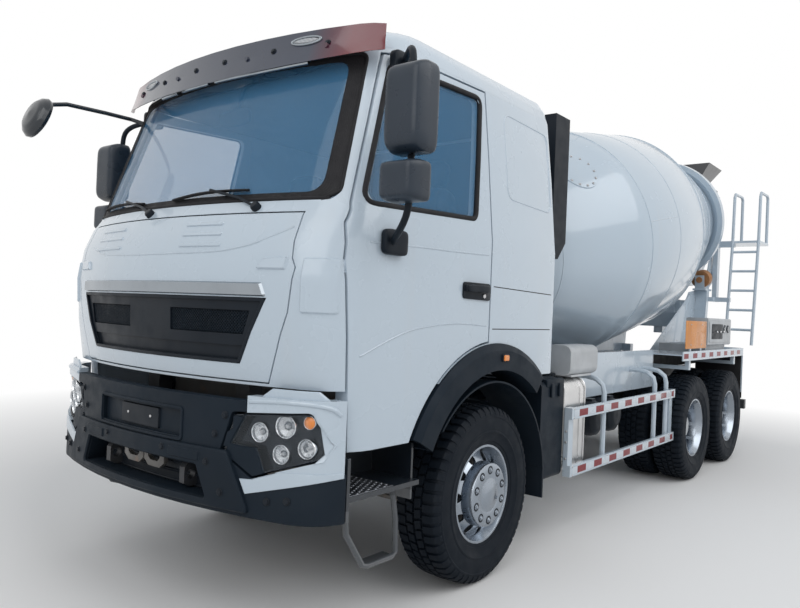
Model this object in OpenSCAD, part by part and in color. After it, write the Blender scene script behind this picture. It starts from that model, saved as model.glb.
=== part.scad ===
/* [Running gear] */
// Front axle to first drive axle
wheelbase = 4025; // [3600:5:4600]
// Distance between the two drive axles
bogie_gap = 1350; // [1300:5:1450]
// Tyre outside radius
tyre_r = 538; // [500:1:560]
// Tyre section width
tyre_w = 312; // [280:1:320]
// Rim seat radius
rim_r = 286; // [280:1:290]
// Centre of a steered tyre from the middle of the truck
front_wheel_y = 1020; // [980:5:1060]
// Centre of an outer drive tyre from the middle of the truck
rear_wheel_y = 1100; // [1060:5:1120]
// Spacing of twin tyres
twin_gap = 346; // [335:1:360]
// King pin from the middle of the truck
king_pin_y = 880; // [840:5:910]

/* [Frame] */
// Top of the frame rails above the ground
rail_top = 1050; // [950:5:1150]
// Height of a frame rail
rail_h = 300; // [250:5:320]
// Outside of a frame rail from the middle
rail_y = 430; // [400:5:470]
// Front end of the rails
rail_front = 1300; // [1200:10:1400]
// Rear end of the rails
rail_rear = -6450; // [-6700:10:-6300]

/* [Cab] */
// Foremost point of the cab nose
nose_x = 1625; // [1560:5:1680]
// Rear wall of the cab
cab_rear = -800; // [-900:5:-700]
// Half width of the cab at the doors
cab_y = 1200; // [1150:5:1240]
// Underside of the cab floor
floor_z = 1245; // [1200:5:1300]
// Top of the roof
roof_z = 3190; // [3100:5:3300]
// Thickness of doors and walls
wall = 45; // [30:1:60]
// Radius of the nose seen from above
nose_r = 3500; // [2500:50:6000]
// Radius of the front corners seen from above
corner_r = 260; // [180:10:320]
// Gap round doors and panels
seam = 12; // [8:1:16]

/* [Drum] */
// Largest radius of the drum
drum_r = 1150; // [1050:5:1200]
// Rise of the drum axis towards the mouth
drum_tilt = 10.6; // [8:0.1:14]
// Front end of the drum on its axis
drum_x = -1450; // [-1600:10:-1400]
// Height of the drum axis at its front end
drum_z = 2095; // [2050:5:2200]
// Length of the drum along its axis
drum_l = 5400; // [5000:10:5600]
// Radius of the drum mouth
mouth_r = 620; // [500:5:700]
// Radius of the roller track
track_r = 842; // [800:2:900]
// Drum wall
drum_wall = 10; // [6:1:16]

/* [Hidden] */
$fn = 48;
mirror_x = 1740;
mirror_lean = 70;
chute_x = -7180;
chute_z = 1925;
chute_fall = 6;
trunnion_reach = 244;
mirror_set_back = 215;
tank_front = 1100;
front_reach = mirror_x + 45 * sin(mirror_lean) + 90 * cos(mirror_lean);
rear_reach = chute_x - trunnion_reach;
axle_x = -(front_reach + rear_reach) / 2;
axle_1 = -wheelbase;
axle_2 = -wheelbase - bogie_gap;
arch_r = 925;
guard_y = 1200;
belt_z = 2110;
lamp_y = 790;
door_front = 1345;
door_rear = 90;
door_foot = 945;
tow_pin_r = 25;
ring_s = 4990;
roller_r = 120;
roller_angle = 145;
panel_gap = 7;
beam_y = 435;
// Cab sections: height, nose x, half width, rear x
CAB_SECTIONS = [
    [door_foot - 10, nose_x - 95, cab_y, cab_rear],
    [1250, nose_x - 50, cab_y, cab_rear],
    [1500, nose_x - 12, cab_y, cab_rear],
    [1760, nose_x, cab_y, cab_rear],
    [1940, nose_x - 28, cab_y, cab_rear],
    [2070, nose_x - 85, cab_y, cab_rear],
    [2140, nose_x - 135, cab_y - 8, cab_rear],
    [2560, nose_x - 285, cab_y - 48, cab_rear],
    [2975, nose_x - 430, cab_y - 95, cab_rear + 6],
    [3050, nose_x - 475, cab_y - 115, cab_rear + 18],
    [3110, nose_x - 560, cab_y - 150, cab_rear + 45],
    [3155, nose_x - 700, cab_y - 230, cab_rear + 110],
    [roof_z, nose_x - 1050, cab_y - 480, cab_rear + 380]
];

// Points along an arc, from angle a0 to a1 in n steps
function arc(cx, cy, r, a0, a1, n) =
    [for (i = [0:n]) let (a = a0 + (a1 - a0) * i / n) [cx + r * cos(a), cy + r * sin(a)]];
// How far the nose falls back at a distance from the middle
function nose_bow(y) = nose_r - sqrt(nose_r * nose_r - y * y);
function unit(v) = v / norm(v);
function flip(points) = [for (i = [len(points) - 1:-1:0]) [points[i].x, -points[i].y]];

// Outline of the cab seen from above: bowed nose, round corners, straight sides
function cab_plan(nose, half, rear) =
    let (
        bow = asin((half - corner_r) / (nose_r - corner_r)),
        corner_x = nose - nose_r + (nose_r - corner_r) * cos(bow),
        left = concat(
            arc(nose - nose_r, 0, nose_r, 0, bow, 5),
            arc(corner_x, half - corner_r, corner_r, bow + (90 - bow) / 5, 90, 4),
            arc(rear + 90, half - 90, 90, 90, 180, 3)
        )
    )
    concat(left, [for (p = flip(left)) if (abs(p.y) > 1) p]);

// Spaces a piece for the left side and its mirror image for the right
module both() {
    children();
    mirror([0, 1, 0]) children();
}

// Picks the left piece (side 1) or its mirror image (side -1)
module on_side(side) {
    if (side > 0) children();
    else mirror([0, 1, 0]) children();
}

// Moves a piece from front axle coordinates to the middle of the truck
module placed() {
    translate([axle_x, 0, 0]) children();
}

// Pushes an outline drawn in x and z along y
module across(y0, y1) {
    translate([0, y1, 0]) rotate([90, 0, 0]) linear_extrude(y1 - y0) children();
}

// Pushes an outline drawn in y and z along x
module along(x0, x1) {
    translate([x0, 0, 0]) rotate([90, 0, 90]) linear_extrude(x1 - x0) children();
}

// Pushes an outline drawn in x and y upwards
module upright(z0, z1) {
    translate([0, 0, z0]) linear_extrude(z1 - z0) children();
}

module block(low, high) {
    translate(low) cube(high - low);
}

module rod(a, b, r) {
    d = b - a;
    l = norm(d);
    translate(a) rotate([0, acos(d.z / l), atan2(d.y, d.x)]) cylinder(h = l, r = r);
}

module round_rect(low, high, r) {
    translate(low + [r, r]) offset(r) square(high - low - [2 * r, 2 * r]);
}

// Bent tube through the points of a path
module tube(path, r, ref = [0.12, 0.2, 0.97], sides = 8) {
    n = len(path);
    points = [
        for (i = [0:n - 1])
            let (
                t = unit(path[min(i + 1, n - 1)] - path[max(i - 1, 0)]),
                s = unit(cross(t, ref)),
                u = cross(s, t)
            )
            for (k = [0:sides - 1])
                path[i] + r * (cos(360 * k / sides) * s + sin(360 * k / sides) * u)
    ];
    skin = [
        for (i = [0:n - 2], k = [0:sides - 1])
            let (j = (k + 1) % sides)
            [i * sides + k, i * sides + j, (i + 1) * sides + j, (i + 1) * sides + k]
    ];
    ends = [[for (k = [sides - 1:-1:0]) k], [for (k = [0:sides - 1]) (n - 1) * sides + k]];
    polyhedron(points, concat(skin, ends));
}

// Skin over level sections, lowest first, each a ring of points seen anticlockwise from above
module loft(rings) {
    m = len(rings[0]);
    n = len(rings);
    points = [for (ring = rings) for (p = ring) p];
    skin = [
        for (i = [0:n - 2], k = [0:m - 1])
            let (j = (k + 1) % m)
            each [
                [i * m + k, (i + 1) * m + k, (i + 1) * m + j],
                [i * m + k, (i + 1) * m + j, i * m + j]
            ]
    ];
    polyhedron(points, concat(skin, [[for (k = [0:m - 1]) k], [for (k = [m - 1:-1:0]) (n - 1) * m + k]]));
}

// Cab outside grown by a distance, or its inside when the distance is negative, over some of the sections
module cab_form(grow = 0, first = 0, last = len(CAB_SECTIONS) - 1) {
    loft([
        for (i = [first:last])
            let (s = CAB_SECTIONS[i])
            [for (p = cab_plan(s[1] + grow, s[2] + grow, s[3] - grow))
                [p.x, p.y, s[0] + (s[0] > 3000 ? grow : 0)]]
    ]);
}

// Skin of the cab between two distances from its outside, over some of the sections
module cab_skin(outer, inner, first, last) {
    difference() {
        cab_form(outer, first, last);
        cab_form(inner, first, last);
    }
}

// Side view of a door, shrunk by a gap
module door_outline(gap = 0) {
    offset(delta = -gap) difference() {
        polygon([
            [door_front - 67, door_foot], [door_front, 1860], [door_front - 22, 2040], [door_front - 62, belt_z],
            [1000, 2955], [door_rear, 2982], [door_rear, door_foot]
        ]);
        translate([0, tyre_r]) circle(arch_r + 2, $fn = 96);
    }
}

// Side view of a door window, shrunk by a gap
module window_outline(gap = 0) {
    offset(r = 45) offset(delta = -45 - gap)
        polygon([[1205, 2152], [268, 2190], [158, 2915], [962, 2880]]);
}

// Front view of the windscreen, shrunk by a gap
module windscreen_outline(gap = 0) {
    offset(r = 60) offset(delta = -60 - gap)
        polygon([[-1085, 2150], [1085, 2150], [1000, 2955], [-1000, 2955]]);
}

// Front view of the lifting panel under the windscreen, shrunk by a gap
module front_panel_outline(gap = 0) {
    offset(delta = -gap) polygon([
        for (side = [1, -1])
            each (side > 0
                ? [[835, 1258], [955, 1605], [985, 1815], [962, 1860], [950, 2090]]
                : [[-950, 2090], [-962, 1860], [-985, 1815], [-955, 1605], [-835, 1258]])
    ]);
}

// Front view of the grille opening, shrunk by a gap
module grille_outline(gap = 0) {
    offset(delta = -gap) polygon([[-672, 1345], [672, 1345], [838, 1668], [-838, 1668]]);
}

// Front view of the left headlamp, shrunk by a gap
module headlamp_outline(gap = 0) {
    offset(r = 25) offset(delta = -25 - gap)
        polygon([[705, 1118], [1110, 1150], [1178, 1000], [1150, 930], [830, 822], [640, 925]]);
}

module cab_shell() {
    color("white") difference() {
        union() {
            intersection() {
                cab_skin(0, -wall, 0, 9);
                block([-900, -1300, floor_z], [1700, 1300, 2988]);
            }
            upright(floor_z, floor_z + 50) intersection() {
                polygon(cab_plan(nose_x - 90, cab_y - 30, cab_rear + 20));
                translate([-900, -1300]) square([2220, 2600]);
            }
            block([1302, -1060, floor_z], [1320, 1060, belt_z - 15]);
            block([1302, -960, belt_z - 15], [1360, 960, belt_z]);
        }
        both() across(700, 1300) door_outline();
        along(900, 1700) windscreen_outline();
        along(1335, 1700) front_panel_outline();
        both() translate([0, 1300, tyre_r]) rotate([90, 0, 0]) cylinder(h = 300, r = arch_r - 4, $fn = 96);
    }
}

module cab_roof() {
    color("white") intersection() {
        difference() {
            cab_form(0, 8);
            translate([0, 0, -wall]) cab_form(-wall, 8);
        }
        block([-900, -1300, 2988], [1700, 1300, 3300]);
    }
}

module windscreen() {
    color([0.15, 0.2, 0.28]) intersection() {
        cab_skin(-8, -14, 5, 9);
        along(900, 1700) windscreen_outline(3);
    }
}

module sun_visor() {
    color([0.35, 0.24, 0.27]) {
        intersection() {
            cab_skin(95, 87, 7, 10);
            across(-1300, 1300) polygon([[1080, 2925], [1500, 2835], [1500, 3070], [1050, 3070]]);
        }
        for (y = [-840, -320, 320, 840])
            translate([nose_x - 415 - nose_bow(y), y, 2970]) rotate([0, 90, 0]) cylinder(h = 91, r = 12);
    }
}

module wheel_arches() {
    color([0.2, 0.21, 0.22]) both() translate([0, 1235, tyre_r]) rotate([90, 0, 0])
        rotate_extrude(angle = 101, start = 28, $fn = 96)
            polygon([[760, 0], [880, 0], [arch_r - 5, 25], [arch_r - 5, 230], [arch_r - 25, 230],
                [arch_r - 25, 45], [865, 20], [780, 20], [780, 230], [760, 230]]);
}

// Panel cut from the cab skin by a front view outline
module front_panel() {
    color("white") difference() {
        intersection() {
            cab_skin(0, -28, 1, 6);
            along(1250, 1700) front_panel_outline(panel_gap);
        }
        along(1300, 1700) grille_outline();
    }
}

// Front view of the pockets in the grille: one each side and a long one below
module grille_pockets() {
    for (side = [0, 1]) mirror([side, 0]) polygon([[190, 1488], [695, 1488], [735, 1604], [190, 1604]]);
    polygon([[-655, 1362], [655, 1362], [688, 1432], [-688, 1432]]);
}

module grille() {
    color([0.08, 0.08, 0.09]) difference() {
        intersection() {
            cab_skin(-10, -40, 1, 6);
            along(1300, 1700) grille_outline(4);
        }
        intersection() {
            cab_skin(10, -24, 1, 6);
            along(1300, 1700) grille_pockets();
        }
    }
}

module door(side) {
    color("white") on_side(side) difference() {
        intersection() {
            cab_skin(0, -wall - 10, 0, 9);
            across(700, 1300) door_outline(seam);
        }
        across(700, 1300) window_outline();
    }
}

module door_glass(side) {
    color([0.15, 0.2, 0.25]) on_side(side) intersection() {
        cab_skin(-16, -22, 6, 9);
        across(700, 1300) window_outline(2);
    }
}

// Mirrors on a bent tube and the door handle; the right pair is set further back
module mirrors(side) {
    back = side > 0 ? 0 : mirror_set_back;
    color([0.1, 0.1, 0.11]) on_side(side) {
        mirror_head([1235 - back, 1450, 2545], [105, 110, 205]);
        mirror_head([1250 - back, 1440, 2215], [100, 105, 92]);
        tube([[905, 1114, 2915], [960 - back * 0.2, 1175, 2905], [1100 - back * 0.6, 1310, 2885],
            [1180 - back * 0.9, 1390, 2850], [1205 - back, 1420, 2780], [1205 - back, 1430, 2300],
            [1205 - back, 1430, 2120], [1190 - back * 0.9, 1390, 2040], [1080 - back * 0.2, 1235, 1965]],
            17, [1, 0.05, 0.1]);
        across(cab_y, cab_y + 42) round_rect([955, 1905], [1130, 2030], 40);
        across(cab_y, cab_y + 20) round_rect([105, 1712], [400, 1815], 30);
        across(cab_y + 20, cab_y + 48) round_rect([115, 1745], [390, 1782], 16);
    }
}

// Mirror housing with a rounded back, open glass face to the rear
module mirror_head(centre, half) {
    translate(centre) intersection() {
        along(-half.x, half.x) round_rect([-half.y, -half.z], [half.y, half.z], 35);
        across(-half.y, half.y) polygon([
            [-half.x * 0.4, -half.z], [half.x * 0.25, -half.z], [half.x * 0.7, -half.z * 0.7], [half.x * 0.8, 0],
            [half.x * 0.7, half.z * 0.7], [half.x * 0.25, half.z], [-half.x * 0.4, half.z]
        ]);
    }
}

module front_mirror() {
    color([0.1, 0.1, 0.11]) {
        difference() {
            tube([[1050, -1020, 2838], [1130, -1075, 2862], [1300, -1100, 2868], [1560, -1105, 2862],
                [1680, -1105, 2830], [1735, -1105, 2770]], 14, [0.05, 1, 0.1]);
            cab_form(0.5, 7, 9);
        }
        translate([mirror_x, -1105, 2735]) rotate([0, mirror_lean, 0]) rotate_extrude()
            polygon([[0, -28], [110, -28], [130, -20], [135, 0], [120, 25], [90, 45], [0, 58]]);
    }
}

module dashboard() {
    color([0.2, 0.2, 0.21]) {
        across(-1050, 1050)
            polygon([
                [1180, floor_z + 50], [1290, floor_z + 50], [1290, 1700], [1300, 2040], [1180, 2075],
                [1010, 2050], [930, 1960], [960, 1860], [1080, 1780]
            ]);
        rod([960, 560, 1850], [728, 560, 2022], 40);
        translate([745, 560, 2010]) rotate([0, -50, 0]) {
            rotate_extrude() polygon(arc(220, 0, 17, 0, 315, 7));
            for (a = [30, 150, 270]) rotate([0, 0, a]) translate([10, -18, -7]) cube([205, 36, 14]);
        }
    }
}

module seats() {
    color([0.28, 0.28, 0.3]) both() {
        across(330, 850) round_rect([60, 1620], [610, 1780], 50);
        across(340, 840) translate([105, 1755]) rotate(12) round_rect([-70, 0], [70, 700], 50);
        across(440, 740) translate([-42, 2430]) rotate(12) round_rect([-50, 0], [50, 200], 35);
        block([120, 400, floor_z + 50], [520, 780, 1622]);
    }
}

module knuckle_lug(z0, z1) {
    upright(z0, z1) {
        circle(58);
        translate([-58, 0]) square([116, 78]);
    }
}

module knuckle(side) {
    color([0.25, 0.25, 0.26]) on_side(side) translate([0, king_pin_y, tyre_r]) {
        knuckle_lug(70, 120);
        knuckle_lug(-122, -76);
        translate([0, 0, -125]) cylinder(h = 250, r = 24);
        block([-58, 64, -120], [58, 86, 120]);
        rotate([-90, 0, 0]) translate([0, 0, 80]) cylinder(h = 150, r = 40);
        block([-250, -45, -122], [-40, -5, -92]);
    }
}

module front_axle() {
    color([0.22, 0.22, 0.23]) difference() {
        union() {
            both() {
                translate([0, king_pin_y, tyre_r - 62]) cylinder(h = 124, r = 50);
                along(-55, 55) polygon([[king_pin_y - 30, tyre_r - 58], [king_pin_y - 30, tyre_r + 58], [620, 520],
                    [560, 500], [560, 380], [640, 400]]);
            }
            block([-60, -565, 380], [60, 565, 500]);
            both() block([-130, 375, 500], [130, 485, 530]);
        }
        both() translate([0, king_pin_y, 0]) cylinder(h = 1200, r = 24.6);
        for (x = [-200, 22]) block([x, -500, 405], [x + 178, 500, 475]);
    }
}

// Leaf spring of true arcs: centre x, length, sag and top height of its ends
module leaf(x, l, sag, z, thick, y, w) {
    r = (l * l / 4 + sag * sag) / (2 * sag);
    translate([x, y + w / 2, z]) rotate([90, 0, 0]) linear_extrude(w) intersection() {
        translate([0, r - sag]) difference() {
            circle(r, $fn = 200);
            circle(r - thick, $fn = 200);
        }
        translate([-l / 2, -sag - 60]) square([l, sag + 120]);
    }
}

module leaf_springs() {
    color([0.2, 0.2, 0.21]) both() {
        for (i = [0:2]) leaf(0, 1700 - 420 * i, 90 - 30 * i, 650 - 26 * i, 24, 430, 90);
        block([-90, 385, 530], [90, 475, 572]);
        for (x = [-830, 830]) block([x - 30, rail_y, 640], [x + 30, rail_y + 40, 900]);
        translate([(axle_1 + axle_2) / 2, 0, 0]) {
            for (i = [0:3]) block([-660 + 150 * i, 470, 700 + 30 * i], [660 - 150 * i, 560, 731 + 30 * i]);
            block([-110, 454, 620], [110, 575, 830]);
            block([-110, rail_y, 620], [110, 456, 950]);
            rod([0, -1, 680], [0, 456, 680], 62);
        }
    }
}

module rear_axles() {
    color([0.22, 0.22, 0.23]) for (x = [axle_1, axle_2]) translate([x, 0, tyre_r]) {
        rotate([-90, 0, 0]) translate([0, 0, -640]) cylinder(h = 1280, r = 80);
        rotate([-90, 0, 0]) translate([0, 0, -1010]) cylinder(h = 2020, r = 52);
        rotate([0, 90, 0]) translate([0, 0, -160]) cylinder(h = 330, r1 = 200, r2 = 120);
        rotate([0, 90, 0]) translate([0, 0, -200]) cylinder(h = 45, r1 = 130, r2 = 199);
        both() block([-75, 470, 60], [75, 560, 162]);
    }
}

module engine() {
    color([0.3, 0.3, 0.32]) {
        block([-350, -250, 640], [1000, 250, 1225]);
        across(-330, 330) polygon([[990, 800], [1072, 720], [1072, 1200], [990, 1150]]);
        block([1070, -340, 700], [1190, 340, 1230]);
        rod([-340, 0, 850], [-520, 0, 850], 240);
        rod([-500, 0, 850], [-1350, 0, 830], 170);
        rod([-1340, 0, 830], [axle_1 + 175, 0, tyre_r + 60], 55);
        rod([axle_1 - 205, 0, tyre_r + 30], [axle_2 + 175, 0, tyre_r + 30], 40);
    }
}

module chassis_frame() {
    color([0.16, 0.17, 0.18]) difference() {
        union() {
            both() difference() {
                block([rail_rear, rail_y - 80, rail_top - rail_h], [rail_front, rail_y, rail_top]);
                block([rail_rear - 1, rail_y - 81, rail_top - rail_h + 10],
                    [rail_front + 1, rail_y - 10, rail_top - 10]);
            }
            for (x = [1240, -1500, -2300, -3350, -4700, -5950, -6400]) {
                block([x - 45, 5 - rail_y, rail_top - 170], [x - 35, rail_y - 5, rail_top - 50]);
                for (z = [rail_top - 170, rail_top - 60])
                    block([x - 45, 5 - rail_y, z], [x + 45, rail_y - 5, z + 10]);
            }
            both() {
                across(330, 370) polygon([[1195, 720], [1330, 720], [1560, 700], [1600, 720], [1600, 800], [1570, 832],
                    [1500, 832], [1330, 990], [1195, 990]]);
                block([1200, 360, 980], [1290, 470, floor_z]);
                block([-720, 370, rail_top - 5], [-620, 470, floor_z]);
                block([1290, 380, 890], [1535, 425, 1000]);
            }
            block([rail_rear - 160, -60, 780], [rail_rear + 30, 60, 940]);
        }
        both() translate([1560, 300, 765]) rotate([-90, 0, 0]) cylinder(h = 100, r = tow_pin_r);
        translate([rail_rear - 100, 0, 700]) cylinder(h = 300, r = tow_pin_r);
        block([rail_rear - 170, -70, 830], [rail_rear - 40, 70, 890]);
    }
}

// Bumper band seen from above, between the nose line and a line behind it
module bumper_band(depth) {
    intersection() {
        difference() {
            polygon(cab_plan(nose_x + 30, cab_y + 4, cab_rear));
            polygon(cab_plan(nose_x + 30 - depth, cab_y + 4 - depth, cab_rear));
        }
        translate([1300, -1300]) square([500, 2600]);
    }
}

module bumper() {
    color([0.19, 0.2, 0.21]) difference() {
        union() {
            upright(635, 863) bumper_band(110);
            intersection() {
                upright(860, 1177) bumper_band(70);
                block([1300, -lamp_y + 4, 600], [1750, lamp_y - 4, 1200]);
            }
        }
        along(1400, 1750) polygon([[-570, 692], [570, 692], [500, 842], [-500, 842]]);
        both() along(1200, 1750) headlamp_outline(-4);
        upright(962, 1090) intersection() {
            difference() {
                polygon(cab_plan(nose_x + 60, cab_y + 34, cab_rear));
                polygon(cab_plan(nose_x + 5, cab_y - 21, cab_rear));
            }
            translate([1300, -365]) square([500, 730]);
        }
    }
}

module lamp_surrounds() {
    color("white") both() difference() {
        intersection() {
            upright(863, 1205) bumper_band(60);
            block([1312, lamp_y, 800], [1750, 1300, 1210]);
        }
        along(1200, 1750) headlamp_outline();
    }
}

module lamps() {
    color([0.75, 0.78, 0.8]) both() intersection() {
        upright(800, 1205) difference() {
            polygon(cab_plan(nose_x + 22, cab_y - 4, cab_rear));
            polygon(cab_plan(nose_x - 70, cab_y - 96, cab_rear));
        }
        along(1320, 1750) headlamp_outline(4);
    }
}

module rear_bar() {
    color([0.16, 0.17, 0.18]) {
        both() block([rail_rear - 40, 350, 600], [rail_rear, rail_y, 1000]);
        both() block([rail_rear - 40, rail_y - 5, 900], [rail_rear - 5, 640, 960]);
        both() block([rail_rear - 40, 620, 880], [rail_rear + 20, 1040, 1000]);
        block([rail_rear - 120, -1150, 520], [rail_rear - 35, 1150, 640]);
    }
}

module entry_steps() {
    color([0.2, 0.2, 0.21]) both() {
        block([730, 860, 640], [1290, 875, 935]);
        block([730, 875, 725], [1290, 1195, 750]);
        block([1275, 875, 640], [1295, 1200, 935]);
        block([730, 875, 640], [745, 1150, 935]);
        block([1000, rail_y, 820], [1060, 862, 880]);
        tube([[1255, 1150, 735], [1235, 1150, 560], [1110, 1150, 385], [1070, 1150, 372], [880, 1150, 372],
            [850, 1150, 390], [860, 1150, 560], [900, 1150, 735]], 15, [0, 1, 0]);
        block([880, 1090, 372], [1070, 1150, 384]);
    }
}

// Front mudguards, and the black battery box ahead of the fuel tank
module front_mudguards() {
    color([0.13, 0.13, 0.14]) {
        both() {
            translate([0, 1195, tyre_r]) rotate([90, 0, 0])
                rotate_extrude(angle = 134, start = 40, $fn = 96)
                    polygon([[680, 0], [692, 0], [692, 320], [680, 320]]);
            block([-694, 880, 400], [-679, 1195, 620]);
            block([-660, rail_y, 1000], [-480, 885, 1030]);
        }
        along(-tank_front, -750) round_rect([516, 476], [1130, 1172], 40);
        block([-960, rail_y, 700], [-880, 520, 900]);
    }
}

module fuel_tank() {
    color([0.75, 0.76, 0.78]) {
        along(-1490, -tank_front) round_rect([520, 480], [1125, 1165], 90);
        for (x = [-1410, -1138]) {
            along(x - 25, x + 25) difference() {
                round_rect([514, 474], [1131, 1171], 96);
                round_rect([530, 490], [1115, 1155], 80);
            }
            block([x - 30, rail_y, 560], [x + 30, 525, 1000]);
        }
        rod([-1212, 950, 1150], [-1212, 950, 1200], 40);
    }
}

module exhaust_box() {
    color([0.5, 0.5, 0.52]) {
        along(-1500, -760) round_rect([-1125, 480], [-520, 1100], 60);
        for (x = [-1330, -900]) block([x - 30, -525, 560], [x + 30, -rail_y, 1000]);
        rod([-1490, -800, 620], [-1650, -800, 583], 60);
    }
}

module domed_tank(l, r) {
    rotate_extrude()
        polygon([
            [0, 0], [r * 0.6, 12], [r * 0.9, 40], [r, 80],
            [r, l - 80], [r * 0.9, l - 40], [r * 0.6, l - 12], [0, l]
        ]);
}

module air_tanks() {
    color([0.12, 0.12, 0.13]) for (x = [-1950, -2330]) {
        translate([x, 470, 800]) rotate([-90, 0, 0]) domed_tank(600, 150);
        block([x - 40, rail_y, 940], [x + 40, 1000, 960]);
    }
}

module water_tank() {
    color("white") {
        translate([-1750, -820, 685]) rotate([0, -90, 0]) domed_tank(1350, 265);
        for (x = [-2050, -2800]) block([x - 40, -640, 780], [x + 40, -rail_y, 860]);
    }
}

module side_guards() {
    color("white") both() {
        for (z = [470, 890]) block([-3440, guard_y - 25, z], [-1105, guard_y, z + 82]);
        for (x = [-1105, -3360]) block([x - 80, guard_y - 60, 470], [x, guard_y - 25, 972]);
        for (x = [-1790, -2980, -3300])
            tube([[x, 912, 1160], [x, 1000, 1160], [x, 1080, 1145], [x, 1140, 1100], [x, 1155, 1040],
                [x, 1155, 480]], 22, [1, 0, 0]);
    }
}

module rear_mudguards() {
    color("white") both() {
        block([-6035, 640, 1290], [-3610, 1215, 1302]);
        block([-6035, 1203, 1240], [-3610, 1215, 1335]);
        block([-6047, 640, 776], [-6035, 1215, 1335]);
        for (x = [-3900, -5700]) {
            block([x - 30, beam_y, 1140], [x + 30, 1195, 1180]);
            block([x - 30, 660, 1180], [x + 30, 700, 1290]);
            block([x - 30, 1155, 1180], [x + 30, 1195, 1290]);
        }
        block([-3622, 900, 960], [-1765, 912, 1335]);
        for (x = [-2200, -3200]) block([x - 25, beam_y, 1130], [x + 25, 902, 1180]);
    }
}

module mixer_subframe() {
    color("white") {
        both() block([rail_rear + 50, 340, rail_top], [-1010, beam_y, 1190]);
        for (x = [-1080, -1500, -3400, -4700, -6200]) block([x - 50, -350, rail_top + 20], [x + 50, 350, 1110]);
        both() {
            across(250, 350)
                polygon([[-1010, 1190], [-1010, 1400], [-1120, 1800], [-1260, 1800], [-1420, 1190]]);
            across(350, 362) polygon([[-1010, 1190], [-1760, 1190], [-1300, 1640], [-1100, 1640]]);
        }
        block([-1290, -350, 1740], [-1090, 350, 1800]);
        difference() {
            across(-350, 350) polygon([[-1150, 1790], [-1250, 1790], [-1310, 2060], [-1210, 2080]]);
            drum_axis() translate([0, 0, -500]) cylinder(h = 510, r = 192);
        }
    }
}

// Runs its children along the drum axis: local z from the front end towards the mouth
module drum_axis() {
    translate([drum_x, 0, drum_z]) rotate([0, drum_tilt - 90, 0]) children();
}

// Half section of the drum: radius and distance from the front end, grown inwards by a wall
function drum_outline(inset) = [
    [0, 5 + inset], [220 - inset, 5 + inset], [220 - inset, 62 + inset], [420, 80 + inset], [700, 190 + inset],
    [770 - inset, 300 + inset], [drum_r - inset, 1380], [drum_r - inset, 3000], [mouth_r - inset, drum_l]
];

module drum() {
    color("white") drum_axis() {
        rotate_extrude($fn = 120) difference() {
            polygon(concat(drum_outline(0), [[0, drum_l]]));
            polygon(concat(drum_outline(drum_wall), [[mouth_r - drum_wall, drum_l + 1], [0, drum_l + 1]]));
        }
        translate([0, 0, ring_s]) rotate_extrude($fn = 120) difference() {
            polygon([[690, -52], [track_r, -52], [track_r, 52], [690, 52]]);
            polygon([[600, 71], [track_r + 40, -123], [track_r + 40, -200], [600, -200]]);
        }
    }
}

module drum_drive() {
    color([0.35, 0.36, 0.38]) {
        drum_axis() {
            translate([0, 0, -30]) cylinder(h = 30, r = 240);
            translate([0, 0, -220]) cylinder(h = 191, r = 190);
            translate([0, 0, -420]) cylinder(h = 201, r = 110);
        }
        along(-1760, -1260) round_rect([880, 1190], [1100, 1420], 60);
        block([-1690, beam_y, 1178], [-1320, 1080, 1195]);
    }
}

// Runs its children at a support roller: local x points from the drum axis to the roller, z along the axis
module at_roller() {
    drum_axis() rotate([0, 0, roller_angle]) translate([track_r + roller_r + 1, 0, ring_s]) children();
}

module rear_pedestal() {
    color("white") {
        both() {
            across(470, 482) polygon([[-5350, 1190], [-6440, 1190], [-6520, 2080], [-6200, 2040]]);
            across(470, 640) polygon([[-6440, 1190], [-6330, 1190], [-6460, 2080], [-6560, 2080]]);
            block([-6430, 345, 1190], [-6330, 475, 1290]);
            difference() {
                for (end = [-105, 105])
                    at_roller() translate([0, 0, end]) rotate([0, 0, -roller_angle])
                        translate([-220, -60, -12]) cube([280, 120, 24]);
                at_roller() translate([0, 0, -150]) cylinder(h = 300, r = 41);
                block([-7000, -1000, 1000], [-6000, 1000, 2080]);
            }
            block([-6660, 470, 2075], [-6380, 640, 2100]);
            block([-7040, 500, 2280], [-6970, 590, 2340]);
            across(560, 590)
                polygon([[-7040, 2340], [-7040, 2280], [-6640, 2085], [-6560, 2085], [-6970, 2340]]);
        }
        across(-475, 475) polygon([[-6470, 1560], [-6410, 1560], [-6430, 1760], [-6490, 1760]]);
        block([-7240, -60, 1470], [-6440, 60, 1530]);
        across(-60, 60) polygon([[-6440, 1470], [-6700, 1470], [-6700, 1530], [-6480, 1740], [-6440, 1740]]);
        translate([chute_x, 0, 1525]) cylinder(h = 100, r = 38);
    }
}

module support_rollers() {
    color([0.62, 0.42, 0.24]) both() at_roller() {
        translate([0, 0, -70]) cylinder(h = 140, r = roller_r);
        translate([0, 0, -130]) cylinder(h = 260, r = 40.5);
    }
}

module control_box() {
    color([0.6, 0.62, 0.63]) {
        along(-5480, -4520) round_rect([960, 1385], [1195, 1690], 20);
        block([-5400, 640, 1302], [-4600, 1150, 1385]);
    }
}

module ladder() {
    color("white") {
        for (y = [870, 1195])
            tube([[-6560, y, 1360], [-6760, y, 2760], [-6790, y, 3380], [-6830, y, 3430], [-7180, y, 3440],
                [-7230, y, 3400], [-7230, y, 2775]], 20, [0, 1, 0]);
        for (i = [0:4]) rod([-6590 - 38 * i, 870, 1560 + 265 * i], [-6590 - 38 * i, 1195, 1560 + 265 * i], 17);
        block([-7260, 640, 2745], [-6745, 1215, 2775]);
        block([-6690, 640, 1930], [-6620, 890, 1990]);
        block([-6800, 640, 2690], [-6740, 900, 2746]);
        block([-6805, 640, 1930], [-6690, 700, 2746]);
        block([-6805, 640, 1930], [-6520, 700, 1990]);
    }
}

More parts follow.
